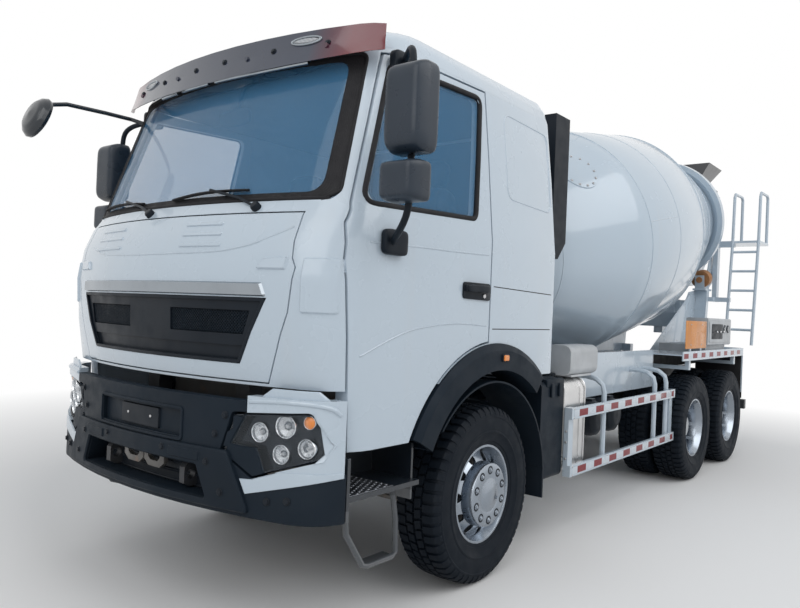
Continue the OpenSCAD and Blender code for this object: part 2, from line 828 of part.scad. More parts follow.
// Rectangular ring of points: x from and to, half width, height
function oblong(x0, x1, half, z) = [[x1, -half, z], [x1, half, z], [x0, half, z], [x0, -half, z]];

module hopper() {
    color([0.16, 0.17, 0.18]) {
        difference() {
            union() {
                loft([
                    oblong(-6900, -6680, 210, 3230), oblong(-7050, -6750, 300, 3480),
                    oblong(-7420, -6780, 520, 3900)
                ]);
                both() block([-7030, 280, 3490], [-6980, 575, 3530]);
            }
            loft([
                oblong(-6892, -6688, 202, 3229), oblong(-7042, -6758, 292, 3480),
                oblong(-7412, -6788, 512, 3901)
            ]);
        }
        both() rod([-7005, 545, 2340], [-7005, 545, 3500], 28);
    }
}

module discharge_funnel() {
    color("white") difference() {
        union() {
            loft([
                oblong(-7330, -7000, 200, 2180), oblong(-7400, -6880, 330, 2450),
                oblong(-7420, -6880, 470, 3010)
            ]);
            both() block([-7030, 330, 2560], [-6980, 516, 2600]);
        }
        loft([
            oblong(-7320, -7010, 190, 2179), oblong(-7390, -6890, 320, 2450),
            oblong(-7410, -6890, 460, 3011)
        ]);
        block([-6895, -400, 2451], [-6870, 400, 3020]);
    }
}

module air_intake() {
    color([0.1, 0.1, 0.11]) {
        along(-1300, -1070)
            polygon([[770, 2200], [820, 2080], [940, 2080], [1000, 2200], [1000, 3150], [770, 3150]]);
        rod([-1190, 880, 2090], [-1190, 880, 1700], 60);
        rod([-1190, 880, 1710], [-1190, 520, 1500], 55);
        rod([-1190, 520, 1540], [-1190, 520, 1190], 60);
        block([-1240, beam_y, 1176], [-1140, 600, 1200]);
    }
}

module chute_arm() {
    color("white") translate([chute_x, 0, 0]) {
        difference() {
            translate([0, 0, 1536]) cylinder(h = 64, r = 62);
            translate([0, 0, 1500]) cylinder(h = 200, r = 38.5);
        }
        difference() {
            block([-240, -60, 1590], [240, 60, 1625]);
            translate([0, 0, 1500]) cylinder(h = 200, r = 38.5);
        }
        both_ways() difference() {
            across(-60, 60) polygon([[226, 1600], [240, 1600], [240, chute_z + 40], [226, chute_z + 40]]);
            translate([200, 0, chute_z]) rotate([0, 90, 0]) cylinder(h = 60, r = 16.5);
        }
    }
}

// A piece and its mirror image ahead of and behind the chute pivot
module both_ways() {
    children();
    mirror([1, 0, 0]) children();
}

module chute() {
    color("white") translate([chute_x, 0, chute_z]) rotate([chute_fall, 0, 0]) {
        translate([0, 130, 0]) rotate([90, 0, 0]) linear_extrude(1330) difference() {
            circle(215, $fn = 96);
            circle(207, $fn = 96);
            translate([-300, 20]) square([600, 300]);
        }
        both_ways() rod([209, 0, 0], [trunnion_reach, 0, 0], 16);
    }
}

// Tyre ring round the y axis
module tyre_ring() {
    rotate([90, 0, 0]) rotate_extrude($fn = 96) polygon([
        [rim_r + 4, -108], [rim_r + 14, -128], [410, -tyre_w / 2], [470, -tyre_w / 2], [522, -140], [tyre_r, -118],
        [tyre_r, 118], [522, 140], [470, tyre_w / 2], [410, tyre_w / 2], [rim_r + 14, 128], [rim_r + 4, 108]
    ]);
}

// Rim barrel with a dished disc: places of the disc and of its weld from the rim's middle, positive outwards
module rim(disc, weld) {
    rotate([-90, 0, 0]) difference() {
        rotate_extrude($fn = 96) {
            polygon([
                [298, -127], [rim_r + 3, -112], [262, -60], [262, 60], [rim_r + 3, 112], [298, 127], [284, 127],
                [250, 62], [250, -62], [284, -127]
            ]);
            polygon([
                [90, disc], [190, disc], [255, weld - 10],
                [255, weld + 10], [196, disc + 14], [90, disc + 14]
            ]);
        }
        for (i = [0:9]) rotate([0, 0, 36 * i]) translate([219, 0, disc - 90]) cylinder(h = 240, r = 30);
    }
}

module hub(from, to, r, bore) {
    rotate([-90, 0, 0]) translate([0, 0, from]) difference() {
        union() {
            cylinder(h = to - from, r = r);
            translate([0, 0, to - from - 40]) cylinder(h = 70, r = r * 0.72);
        }
        translate([0, 0, -1]) cylinder(h = to - from - 25, r = bore);
    }
}

module front_tyre(side) {
    color([0.07, 0.07, 0.07]) on_side(side) translate([0, front_wheel_y, tyre_r]) tyre_ring();
}

module front_rim(side) {
    color([0.72, 0.73, 0.74]) on_side(side) translate([0, front_wheel_y, tyre_r]) {
        rim(80, 40);
        hub(-20, 130, 130, 42);
    }
}

module drive_tyres(x, side) {
    color([0.07, 0.07, 0.07]) on_side(side) for (i = [0, 1])
        translate([x, rear_wheel_y - twin_gap * i, tyre_r]) tyre_ring();
}

module drive_rims(x, side) {
    color([0.72, 0.73, 0.74]) on_side(side) translate([x, rear_wheel_y, tyre_r]) {
        rim(-158, -48);
        translate([0, -twin_gap, 0]) mirror([0, 1, 0]) rim(-158, -48);
        hub(-330, 10, 140, 54);
    }
}

placed() chassis_frame();
placed() engine();
placed() front_axle();
placed() rear_axles();
placed() leaf_springs();
placed() fuel_tank();
placed() exhaust_box();
placed() air_tanks();
placed() water_tank();
placed() side_guards();
placed() rear_mudguards();
placed() front_mudguards();
placed() bumper();
placed() lamp_surrounds();
placed() lamps();
placed() rear_bar();
placed() entry_steps();
placed() mixer_subframe();
placed() rear_pedestal();
placed() support_rollers();
placed() drum_drive();
placed() control_box();
placed() ladder();
placed() hopper();
placed() discharge_funnel();
placed() air_intake();
placed() cab_shell();
placed() cab_roof();
placed() windscreen();
placed() sun_visor();
placed() wheel_arches();
placed() dashboard();
placed() seats();
placed() front_mirror();
placed() front_panel();
placed() grille();
placed() door(1);  // door_left
placed() door(-1);  // door_right
placed() door_glass(1);  // door_glass_left
placed() door_glass(-1);  // door_glass_right
placed() mirrors(1);  // mirrors_left
placed() mirrors(-1);  // mirrors_right
placed() knuckle(1);  // knuckle_left
placed() knuckle(-1);  // knuckle_right
placed() front_tyre(1);  // front_tyre_left
placed() front_tyre(-1);  // front_tyre_right
placed() front_rim(1);  // front_rim_left
placed() front_rim(-1);  // front_rim_right
placed() drive_tyres(axle_1, 1);  // drive_tyres_1_left
placed() drive_tyres(axle_1, -1);  // drive_tyres_1_right
placed() drive_tyres(axle_2, 1);  // drive_tyres_2_left
placed() drive_tyres(axle_2, -1);  // drive_tyres_2_right
placed() drive_rims(axle_1, 1);  // drive_rims_1_left
placed() drive_rims(axle_1, -1);  // drive_rims_1_right
placed() drive_rims(axle_2, 1);  // drive_rims_2_left
placed() drive_rims(axle_2, -1);  // drive_rims_2_right
placed() drum();
placed() chute_arm();
placed() chute();
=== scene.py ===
"""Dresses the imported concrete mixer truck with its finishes, fittings, tyres, lamps and studio."""
import logging
import math
from dataclasses import dataclass
from enum import Enum
from typing import Callable, Iterable, Optional, Sequence

import bmesh
import bpy
from mathutils import Matrix, Vector
from mathutils.bvhtree import BVHTree
from mathutils.geometry import delaunay_2d_cdt


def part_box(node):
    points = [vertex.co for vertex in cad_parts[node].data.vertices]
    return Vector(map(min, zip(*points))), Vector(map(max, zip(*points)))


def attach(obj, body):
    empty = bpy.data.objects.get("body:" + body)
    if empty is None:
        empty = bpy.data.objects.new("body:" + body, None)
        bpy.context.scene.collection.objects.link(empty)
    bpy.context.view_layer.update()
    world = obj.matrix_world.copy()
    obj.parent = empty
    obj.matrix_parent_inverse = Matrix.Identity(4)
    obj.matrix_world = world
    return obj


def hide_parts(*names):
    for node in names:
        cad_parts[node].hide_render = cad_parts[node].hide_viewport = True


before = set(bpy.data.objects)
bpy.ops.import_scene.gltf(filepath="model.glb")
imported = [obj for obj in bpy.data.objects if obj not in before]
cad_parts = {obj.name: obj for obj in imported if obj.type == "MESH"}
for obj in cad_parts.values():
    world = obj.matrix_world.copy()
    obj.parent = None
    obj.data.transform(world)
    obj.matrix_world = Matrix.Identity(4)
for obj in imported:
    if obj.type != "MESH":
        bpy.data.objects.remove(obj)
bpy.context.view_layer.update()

LOG = logging.getLogger("mixer_truck")
Color = tuple[float, float, float]
Pair = tuple[float, float]
Triple = tuple[float, float, float]
Line = tuple[Pair, ...]
Place = Callable[[float, float], Vector]
Socket = bpy.types.NodeSocket

RIM_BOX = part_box("front_rim_left")
AXLE_X = (RIM_BOX[0][0] + RIM_BOX[1][0]) / 2
FORWARD = Vector((1, 0, 0))
LEFT = Vector((0, 1, 0))
UP = Vector((0, 0, 1))
RAY_START = 3.0
RAY_NEAR = 1.5
ROAD_DUST: Color = (0.4, 0.37, 0.33)
EDGE_BLUR = 0.002


class Side(Enum):
    """The two sides of the truck, with the sign of their y."""

    LEFT = 1
    RIGHT = -1

    def __str__(self) -> str:
        """Word used in node and piece names."""
        return self.name.lower()


class Shader:
    """One material's nodes round its Principled shader, in the object's own coordinates."""

    def __init__(self, name: str, color: Color, roughness: float, metallic: float = 0.0) -> None:
        """Starts a material.

        Args:
            name: Material name.
            color: Base colour, linear.
            roughness: Base roughness.
            metallic: 1 for bare metal.
        """
        self.material = bpy.data.materials.new(name)
        self.material.use_nodes = True
        self.tree = self.material.node_tree
        self.bsdf = self.tree.nodes["Principled BSDF"]
        self.color = color
        self.set(**{"Base Color": (*color, 1.0), "Roughness": roughness, "Metallic": metallic})
        self.place = self.tree.nodes.new("ShaderNodeTexCoord").outputs["Object"]
        self.normal: Optional[Socket] = None
        self.layered: Optional[Socket] = None

    def set(self, **inputs: object) -> None:
        """Sets constants straight on the shader's sockets."""
        for name, value in inputs.items():
            self.bsdf.inputs[name].default_value = value

    def feed(self, socket: Socket, value: object) -> None:
        """Links another socket to a socket, or sets its value.

        Args:
            socket: Socket that takes it.
            value: Socket or value.
        """
        if isinstance(value, Socket):
            self.tree.links.new(value, socket)
        else:
            socket.default_value = value

    def put(self, kind: str, **inputs: object) -> bpy.types.Node:
        """Adds a node.

        Args:
            kind: Node type after "ShaderNode".
            inputs: Values or sockets by input name, with spaces as underscores.

        Returns:
            The new node.
        """
        node = self.tree.nodes.new("ShaderNode" + kind)
        for name, value in inputs.items():
            self.feed(node.inputs[name.replace("_", " ")], value)
        return node

    def calc(self, operation: str, *values: object) -> Socket:
        """Result of a sum on sockets or numbers.

        Args:
            operation: Kind of sum.
            values: What it is made of, in order.

        Returns:
            The result's socket.
        """
        node = self.put("Math")
        node.operation = operation
        for socket, value in zip(node.inputs, values):
            self.feed(socket, value)
        return node.outputs[0]

    def stretched(self, stretch: Triple) -> Socket:
        """Coordinates scaled by a factor on each axis."""
        return self.put("Mapping", Vector=self.place, Scale=stretch).outputs[0]

    def noise(self, scale: float, detail: float = 3.0, stretch: Optional[Triple] = None) -> Socket:
        """Cloudy pattern between 0 and 1, with its waves per metre, finer layers and stretch."""
        place = self.stretched(stretch) if stretch else self.place
        return self.put("TexNoise", Vector=place, Scale=scale, Detail=detail).outputs[0]

    def cells(self, scale: float) -> Socket:
        """Distance to the nearest of scattered points, for grain."""
        return self.put("TexVoronoi", Vector=self.place, Scale=scale).outputs["Distance"]

    def span(self, value: Socket, low: float, high: float, to_low: float, to_high: float
             ) -> Socket:
        """Carries one range over to another.

        Args:
            value: Incoming socket.
            low: Start of the incoming range.
            high: End of the incoming range.
            to_low: Result at the start.
            to_high: Result at the end.

        Returns:
            The result's socket, held inside the new range.
        """
        node = self.put("MapRange", Value=value)
        for name, number in (("From Min", low), ("From Max", high), ("To Min", to_low), ("To Max", to_high)):
            node.inputs[name].default_value = number
        return node.outputs[0]

    def times(self, a: Socket, b: Socket) -> Socket:
        """Product of two masks."""
        return self.calc("MULTIPLY", a, b)

    def beyond(self, value: Socket, level: float) -> Socket:
        """Mask that turns from 0 to 1 at a level."""
        return self.span(value, level - EDGE_BLUR, level + EDGE_BLUR, 0.0, 1.0)

    def axis(self, index: int) -> Socket:
        """One of the object's own coordinates."""
        return self.put("SeparateXYZ", Vector=self.place).outputs[index]

    def layer(self, mask: Socket, color: Color) -> None:
        """Lays a colour over the base where a mask is 1.

        Args:
            mask: Where the colour goes.
            color: The colour.
        """
        node = self.tree.nodes.new("ShaderNodeMix")
        node.data_type = "RGBA"
        factor, under, over = node.inputs[0], node.inputs[6], node.inputs[7]
        self.feed(factor, mask)
        self.feed(under, (*self.color, 1.0) if self.layered is None else self.layered)
        self.feed(over, (*color, 1.0))
        self.layered = node.outputs[2]
        self.tree.links.new(self.layered, self.bsdf.inputs["Base Color"])

    def clouds(self, scale: float, detail: float, onset: Pair, amount: float, color: Color) -> None:
        """Lays a colour over the base in cloudy patches that set in over a part of the pattern."""
        self.layer(self.span(self.noise(scale, detail), *onset, 0.0, amount), color)

    def rough(self, scale: float, detail: float, low: float, high: float) -> None:
        """Varies the roughness between two values in cloudy patches."""
        self.feed(self.bsdf.inputs["Roughness"], self.span(self.noise(scale, detail), 0.3, 0.7, low, high))

    def bump(self, height: Socket, strength: float, distance: float) -> None:
        """Raises the surface by a pattern, over any earlier bump.

        Args:
            height: The pattern.
            strength: How strongly it shows.
            distance: Height of the pattern in metres.
        """
        node = self.put("Bump", Height=height, Strength=strength, Distance=distance)
        if self.normal is not None:
            self.tree.links.new(self.normal, node.inputs["Normal"])
        self.normal = node.outputs[0]
        self.tree.links.new(self.normal, self.bsdf.inputs["Normal"])

    def edges(self, radius: float) -> Socket:
        """Rounds sharp edges in the shading.

        Args:
            radius: Radius of the rounding in metres.

        Returns:
            A mask that is 1 along the edges.
        """
        bevel = self.tree.nodes.new("ShaderNodeBevel")
        bevel.samples = 4
        bevel.inputs["Radius"].default_value = radius
        self.normal = bevel.outputs[0]
        self.tree.links.new(self.normal, self.bsdf.inputs["Normal"])
        dot = self.tree.nodes.new("ShaderNodeVectorMath")
        dot.operation = "DOT_PRODUCT"
        self.tree.links.new(bevel.outputs[0], dot.inputs[0])
        self.tree.links.new(self.tree.nodes.new("ShaderNodeNewGeometry").outputs["Normal"], dot.inputs[1])
        return self.span(dot.outputs["Value"], 0.98, 0.8, 0.0, 1.0)

    def dust(self, amount: float, low: float = 0.4, high: float = 1.7) -> None:
        """Road dust, thick near the ground and patchy.

        Args:
            amount: Cover near the ground.
            low: Height below which the cover is full.
            high: Height above which there is none.
        """
        fade = self.span(self.axis(2), low, high, amount, 0.0)
        patches = self.span(self.noise(2.2, 5.0), 0.35, 0.7, 0.25, 1.0)
        self.layer(self.times(fade, patches), ROAD_DUST)


MADE: dict[str, bpy.types.Material] = {}


@dataclass(frozen=True)
class Finish:
    """A surface finish and the record slot that it belongs to."""

    name: str
    slot: str
    color: Color
    roughness: float

    def material(self) -> bpy.types.Material:
        """Makes the material once and hands it out again later.

        Returns:
            The material.
        """
        if self.name not in MADE:
            shader = self.start()
            self.dress(shader)
            MADE[self.name] = shader.material
        return MADE[self.name]

    def start(self) -> Shader:
        """Plain shader in this finish's colour."""
        return Shader(self.name, self.color, self.roughness)

    def tone(self, gain: float, lift: float = 0.0) -> Color:
        """This finish's colour, multiplied and lifted."""
        return tuple(min(1.0, c * gain + lift) for c in self.color)

    def dress(self, shader: Shader) -> None:
        """Adds the detail of the surface; each kind of finish has its own."""


@dataclass(frozen=True)
class GlossPaint(Finish):
    """Sprayed coach paint under a clear coat."""

    dusty: float = 0.22
    wave: float = 0.04
    wear: Color = (0.42, 0.43, 0.45)

    def dress(self, shader: Shader) -> None:
        """Orange peel, faint run marks, road dust and chipped edges.

        Args:
            shader: Nodes of the material.
        """
        edge = shader.edges(0.004)
        shader.clouds(0.8, 4.0, (0.35, 0.65), 0.1, self.tone(0.86))
        streaks = shader.noise(7.0, 4.0, (1.0, 1.0, 0.08))
        shader.layer(shader.span(streaks, 0.55, 0.8, 0.0, 0.12), (0.52, 0.52, 0.51))
        shader.dust(self.dusty)
        chips = shader.span(shader.noise(60.0, 3.0), 0.52, 0.66, 0.0, 0.55)
        shader.layer(shader.times(edge, chips), self.wear)
        shader.rough(3.0, 5.0, self.roughness - 0.05, self.roughness + 0.08)
        shader.bump(shader.noise(1.6, 2.0), self.wave, 0.02)
        shader.bump(shader.noise(420.0, 1.0), 0.03, 0.0006)
        shader.set(**{"Coat Weight": 0.55, "Coat Roughness": 0.05})


@dataclass(frozen=True)
class SatinPaint(Finish):
    """Brushed or dipped paint on frames and brackets."""

    dusty: float = 0.45

    def dress(self, shader: Shader) -> None:
        """Mottled paint with dust and bright worn edges.

        Args:
            shader: Nodes of the material.
        """
        edge = shader.edges(0.003)
        shader.clouds(5.0, 5.0, (0.4, 0.7), 0.5, self.tone(1.5, 0.01))
        shader.dust(self.dusty, 0.3, 1.5)
        chips = shader.span(shader.noise(45.0, 4.0), 0.45, 0.62, 0.0, 0.8)
        shader.layer(shader.times(edge, chips), (0.3, 0.27, 0.24))
        shader.rough(14.0, 4.0, self.roughness - 0.1, self.roughness + 0.12)
        shader.bump(shader.noise(180.0, 2.0), 0.08, 0.001)


@dataclass(frozen=True)
class ZonedPaint(GlossPaint):
    """Coach paint that changes colour beyond a level on one axis."""

    other: Color = (0.03, 0.032, 0.036)
    along: int = 2
    level: float = 0.0

    def dress(self, shader: Shader) -> None:
        """Coach paint with the second colour above the level."""
        super().dress(shader)
        shader.layer(shader.beyond(shader.axis(self.along), self.level), self.other)


@dataclass(frozen=True)
class CastMetal(Finish):
    """Cast or forged iron with oil and dirt."""

    def dress(self, shader: Shader) -> None:
        """Sandy skin, oily patches and rust in places.

        Args:
            shader: Nodes of the material.
        """
        edge = shader.edges(0.004)
        shader.clouds(4.0, 5.0, (0.45, 0.7), 0.7, (0.035, 0.03, 0.026))
        shader.clouds(9.0, 6.0, (0.58, 0.72), 0.6, (0.2, 0.1, 0.05))
        shader.layer(shader.times(edge, shader.noise(30.0)), (0.42, 0.41, 0.4))
        shader.dust(0.5, 0.3, 1.4)
        shader.rough(6.0, 4.0, 0.35, 0.75)
        shader.bump(shader.cells(260.0), 0.25, 0.0015)


@dataclass(frozen=True)
class GrainPlastic(Finish):
    """Moulded plastic with a fine leather grain."""

    grain: float = 0.22
    dusty: float = 0.3
    shine: float = 0.2

    def dress(self, shader: Shader) -> None:
        """Grain, sun bleaching and scuffed edges.

        Args:
            shader: Nodes of the material.
        """
        edge = shader.edges(0.005)
        shader.clouds(2.5, 4.0, (0.4, 0.7), 0.45, self.tone(1.45, 0.006))
        shader.dust(self.dusty, 0.3, 1.4)
        scuffs = shader.span(shader.noise(38.0, 4.0, (1.0, 1.0, 2.5)), 0.5, 0.66, 0.0, 0.5)
        shader.layer(shader.times(edge, scuffs), self.tone(2.2, 0.04))
        shader.rough(11.0, 3.0, self.roughness - 0.08, self.roughness + 0.1)
        shader.bump(shader.cells(520.0), self.grain, 0.0008)
        shader.set(**{"Specular IOR Level": self.shine})


@dataclass(frozen=True)
class BareMetal(Finish):
    """Bare or plated metal, brushed along one axis."""

    streak: Triple = (1.0, 1.0, 1.0)
    polish: float = 0.06

    def start(self) -> Shader:
        """Metal shader in this finish's colour."""
        return Shader(self.name, self.color, self.roughness, 1.0)

    def dress(self, shader: Shader) -> None:
        """Fine drawn lines, water spots and dull patches.

        Args:
            shader: Nodes of the material.
        """
        edge = shader.edges(0.003)
        lines = shader.noise(260.0, 2.0, self.streak)
        shader.clouds(6.0, 5.0, (0.45, 0.75), 0.35, self.tone(0.6))
        shader.layer(shader.times(edge, shader.noise(20.0)), self.tone(1.2))
        low, high = max(0.02, self.roughness - self.polish), self.roughness + self.polish
        shader.rough(5.0, 5.0, low, high)
        shader.bump(lines, 0.05, 0.0005)


@dataclass(frozen=True)
class TintedGlass(Finish):
    """Tinted safety glass, seen through and shiny."""

    cover: float = 0.7

    def dress(self, shader: Shader) -> None:
        """A patchy lighter film, partly dust and partly painted sky reflection.

        Args:
            shader: Nodes of the material.
        """
        # Painted reflection: lighter cloudy patches, partly dust and partly reflected sky.
        shader.clouds(1.6, 4.0, (0.5, 0.75), 0.25, self.tone(1.2, 0.03))
        shader.rough(9.0, 4.0, 0.01, 0.04)
        shader.set(**{"Alpha": self.cover, "IOR": 1.52, "Specular IOR Level": 0.6})
        shader.material.surface_render_method = "BLENDED"


@dataclass(frozen=True)
class LampLens(Finish):
    """Clear or coloured lamp plastic with prisms."""

    cover: float = 0.85
    ribs: float = 90.0
    prism: float = 0.25
    coat: float = 0.6

    def dress(self, shader: Shader) -> None:
        """Prism ribs and cloudy plastic.

        Args:
            shader: Nodes of the material.
        """
        ribs = shader.put("TexWave", Vector=shader.place, Scale=self.ribs).outputs["Fac"]
        shader.layer(shader.span(ribs, 0.2, 0.9, 0.0, 0.4), self.tone(1.5, 0.03))
        shader.rough(30.0, 3.0, self.roughness, self.roughness + 0.1)
        shader.bump(ribs, self.prism, 0.002)
        shader.set(**{"Alpha": self.cover, "Coat Weight": self.coat, "Coat Roughness": 0.03})
        shader.material.surface_render_method = "BLENDED"


@dataclass(frozen=True)
class TyreRubber(Finish):
    """Black rubber with faint dust."""

    def dress(self, shader: Shader) -> None:
        """Matt rubber, faint dust and a fine moulded skin.

        Args:
            shader: Nodes of the material.
        """
        shader.clouds(6.0, 5.0, (0.4, 0.7), 0.3, (0.016, 0.019, 0.024))
        shader.clouds(16.0, 6.0, (0.58, 0.78), 0.2, (0.036, 0.037, 0.038))
        shader.rough(12.0, 4.0, self.roughness - 0.12, self.roughness + 0.1)
        shader.bump(shader.noise(300.0, 2.0), 0.12, 0.001)
        shader.set(**{"Specular IOR Level": 0.16})


@dataclass(frozen=True)
class WovenCloth(Finish):
    """Upholstery cloth with crossing threads."""

    threads: float = 700.0

    def dress(self, shader: Shader) -> None:
        """Two crossing thread waves, faded patches and a soft sheen.

        Args:
            shader: Nodes of the material.
        """
        waves = []
        for stretch in ((1.0, 0.0, 0.6), (0.0, 1.0, 0.0)):
            place = shader.stretched(stretch)
            node = shader.put("TexWave", Vector=place, Scale=self.threads / 6.0, Distortion=0.6)
            waves.append(node.outputs["Fac"])
        weave = shader.times(*waves)
        shader.layer(shader.span(weave, 0.0, 0.8, 0.0, 0.7), self.tone(1.8, 0.01))
        shader.clouds(5.0, 4.0, (0.5, 0.75), 0.3, (0.16, 0.155, 0.15))
        shader.bump(weave, 0.4, 0.001)
        shader.set(**{"Sheen Weight": 0.35, "Sheen Roughness": 0.5})


@dataclass(frozen=True)
class StripedTape(Finish):
    """Reflective tape in blocks of two colours along x, with a honeycomb under its film."""

    other: Color = (0.72, 0.72, 0.7)
    pitch: float = 0.3
    comb: float = 0.12

    def dress(self, shader: Shader) -> None:
        """Colour blocks, honeycomb cells and dirt.

        Args:
            shader: Nodes of the material.
        """
        blocks = shader.calc("PINGPONG", shader.axis(0), self.pitch / 2)
        shader.layer(shader.beyond(blocks, self.pitch / 4), self.other)
        comb = shader.cells(110.0)
        shader.layer(shader.span(comb, 0.35, 0.6, 0.0, self.comb), (0.85, 0.8, 0.78))
        shader.dust(0.1)
        shader.rough(9.0, 4.0, 0.22, 0.42)
        shader.bump(comb, 0.12, 0.0006)
        shader.set(**{"Coat Weight": 0.08, "Coat Roughness": 0.1, "Specular IOR Level": 0.25})


@dataclass(frozen=True)
class VisorTint(Finish):
    """Smoked see-through plastic that turns red towards both ends."""

    end: Color = (0.13, 0.003, 0.012)
    turn: Pair = (0.74, 0.97)

    def dress(self, shader: Shader) -> None:
        """Red ends by distance from the middle, and a cloudy film.

        Args:
            shader: Nodes of the material.
        """
        aside = shader.calc("ABSOLUTE", shader.axis(1))
        shader.layer(shader.span(aside, *self.turn, 0.0, 1.0), self.end)
        shader.clouds(2.0, 4.0, (0.4, 0.75), 0.12, (0.1, 0.11, 0.16))
        shader.rough(10.0, 3.0, 0.08, 0.2)
        shader.bump(shader.noise(2.0, 2.0), 0.04, 0.01)
        shader.set(**{"Alpha": 0.97, "Coat Weight": 0.35, "Coat Roughness": 0.04})
        shader.material.surface_render_method = "BLENDED"


# Painted shade: the white paint colours of the cab, the drum and the hopper's legs are darker and bluer than
# white paint, standing in for blue skylight shade.
WHITE = GlossPaint("white_paint_finish", "white_paint", (0.48, 0.562, 0.64), 0.26, dusty=0.06)
DRUM_WHITE = GlossPaint("drum_paint_finish", "white_paint", (0.45, 0.54, 0.625), 0.2, dusty=0.05,
                        wave=0.02)
FRAME = SatinPaint("frame_paint_finish", "frame_paint", (0.02, 0.023, 0.029), 0.48, dusty=0.14)
HOPPER = ZonedPaint("hopper_paint_finish", "frame_paint", (0.48, 0.562, 0.64), 0.3, dusty=0.05,
                    other=(0.02, 0.022, 0.028), level=3.2)
GREY = SatinPaint("grey_paint_finish", "grey_paint", (0.4, 0.42, 0.44), 0.42, dusty=0.2)
CAST = CastMetal("cast_finish", "cast_parts", (0.075, 0.072, 0.07), 0.55)
CHARCOAL = GrainPlastic("charcoal_finish", "charcoal_plastic", (0.006, 0.012, 0.02), 0.46, grain=0.18,
                        dusty=0.03, shine=0.11)
BLACK = GrainPlastic("black_plastic_finish", "black_plastic", (0.008, 0.012, 0.018), 0.4, grain=0.12,
                     dusty=0.03, shine=0.14)
CASE = GrainPlastic("mirror_case_finish", "black_plastic", (0.018, 0.027, 0.04), 0.3, grain=0.08,
                    dusty=0.02, shine=0.34)
GLOSS = GrainPlastic("gloss_case_finish", "black_plastic", (0.008, 0.013, 0.019), 0.14, grain=0.02,
                     dusty=0.02, shine=0.6)
RUBBER = GrainPlastic("seal_rubber_finish", "black_plastic", (0.012, 0.012, 0.014), 0.62, grain=0.1,
                      dusty=0.05)
TANK = BareMetal("tank_metal_finish", "tank_metal", (0.66, 0.66, 0.66), 0.3, streak=(1.0, 1.0, 0.05))
MUFFLER = BareMetal("muffler_metal_finish", "muffler_metal", (0.54, 0.58, 0.62), 0.38,
                    streak=(0.05, 1.0, 1.0))
CHROME = BareMetal("chrome_finish", "tank_metal", (0.3, 0.33, 0.36), 0.12, streak=(1.0, 0.05, 1.0),
                   polish=0.05)
STEEL = BareMetal("bright_steel_finish", "roller_metal", (0.52, 0.52, 0.53), 0.32, streak=(0.05, 1.0, 1.0))
ROLLER = CastMetal("roller_finish", "roller_metal", (0.42, 0.19, 0.07), 0.45)
TRIM = GrainPlastic("cabin_trim_finish", "cabin_trim", (0.05, 0.052, 0.058), 0.6, grain=0.3, dusty=0.0)
CLOTH = WovenCloth("seat_cloth_finish", "seat_cloth", (0.055, 0.057, 0.066), 0.85)
# Painted reflection: the strong blue of these glass colours is partly the glass's own tint and partly
# reflected blue sky.
GLASS = TintedGlass("window_glass_finish", "screen_glass", (0.06, 0.26, 0.5), 0.03, cover=0.3)
SCREEN = TintedGlass("windscreen_glass_finish", "screen_glass", (0.1, 0.3, 0.54), 0.03, cover=0.3)
CLEAR = LampLens("clear_lens_finish", "lamp_lens", (0.5, 0.56, 0.62), 0.03, cover=0.03, ribs=6.0, prism=0.02,
                 coat=0.1)
LENS = LampLens("lamp_lens_finish", "lamp_lens", (0.62, 0.65, 0.68), 0.05, cover=0.55, ribs=60.0)
GLOBE = LampLens("globe_lens_finish", "lamp_lens", (0.42, 0.47, 0.52), 0.03, cover=0.16, ribs=40.0)
LAMP_CHROME = BareMetal("lamp_chrome_finish", "tank_metal", (0.68, 0.7, 0.72), 0.07, polish=0.03)
BEZEL = BareMetal("lamp_bezel_finish", "lamp_lens", (0.02, 0.023, 0.028), 0.22, polish=0.05)
AMBER = LampLens("amber_lens_finish", "lamp_lens", (0.78, 0.22, 0.02), 0.1, cover=0.96)
RED = LampLens("red_lens_finish", "lamp_lens", (0.5, 0.012, 0.015), 0.1, cover=0.97)
VISOR = VisorTint("visor_finish", "visor_tint", (0.03, 0.039, 0.064), 0.1)
TYRE = TyreRubber("tyre_finish", "tyre_rubber", (0.0035, 0.007, 0.0125), 0.66)
BRAKE = CastMetal("brake_drum_finish", "cast_parts", (0.02, 0.019, 0.018), 0.7)
LOOPS = ZonedPaint("entry_step_finish", "charcoal_plastic", (0.05, 0.058, 0.068), 0.34, dusty=0.05,
                   other=(0.009, 0.014, 0.021), level=0.69)
STEP = BareMetal("step_tread_finish", "charcoal_plastic", (0.17, 0.18, 0.2), 0.42, polish=0.1)
RIM = BareMetal("rim_finish", "rim_paint", (0.35, 0.39, 0.44), 0.25, polish=0.08)
MIRROR = BareMetal("mirror_glass_finish", "screen_glass", (0.78, 0.8, 0.82), 0.03, polish=0.01)
TAPE = StripedTape("tape_finish", "white_paint", (0.2, 0.003, 0.012), 0.3, other=(0.58, 0.64, 0.7),
                   pitch=0.3, comb=0.03)
ORANGE = StripedTape("orange_plate_finish", "white_paint", (0.62, 0.215, 0.008), 0.35,
                     other=(0.56, 0.19, 0.007), pitch=0.3, comb=0.04)

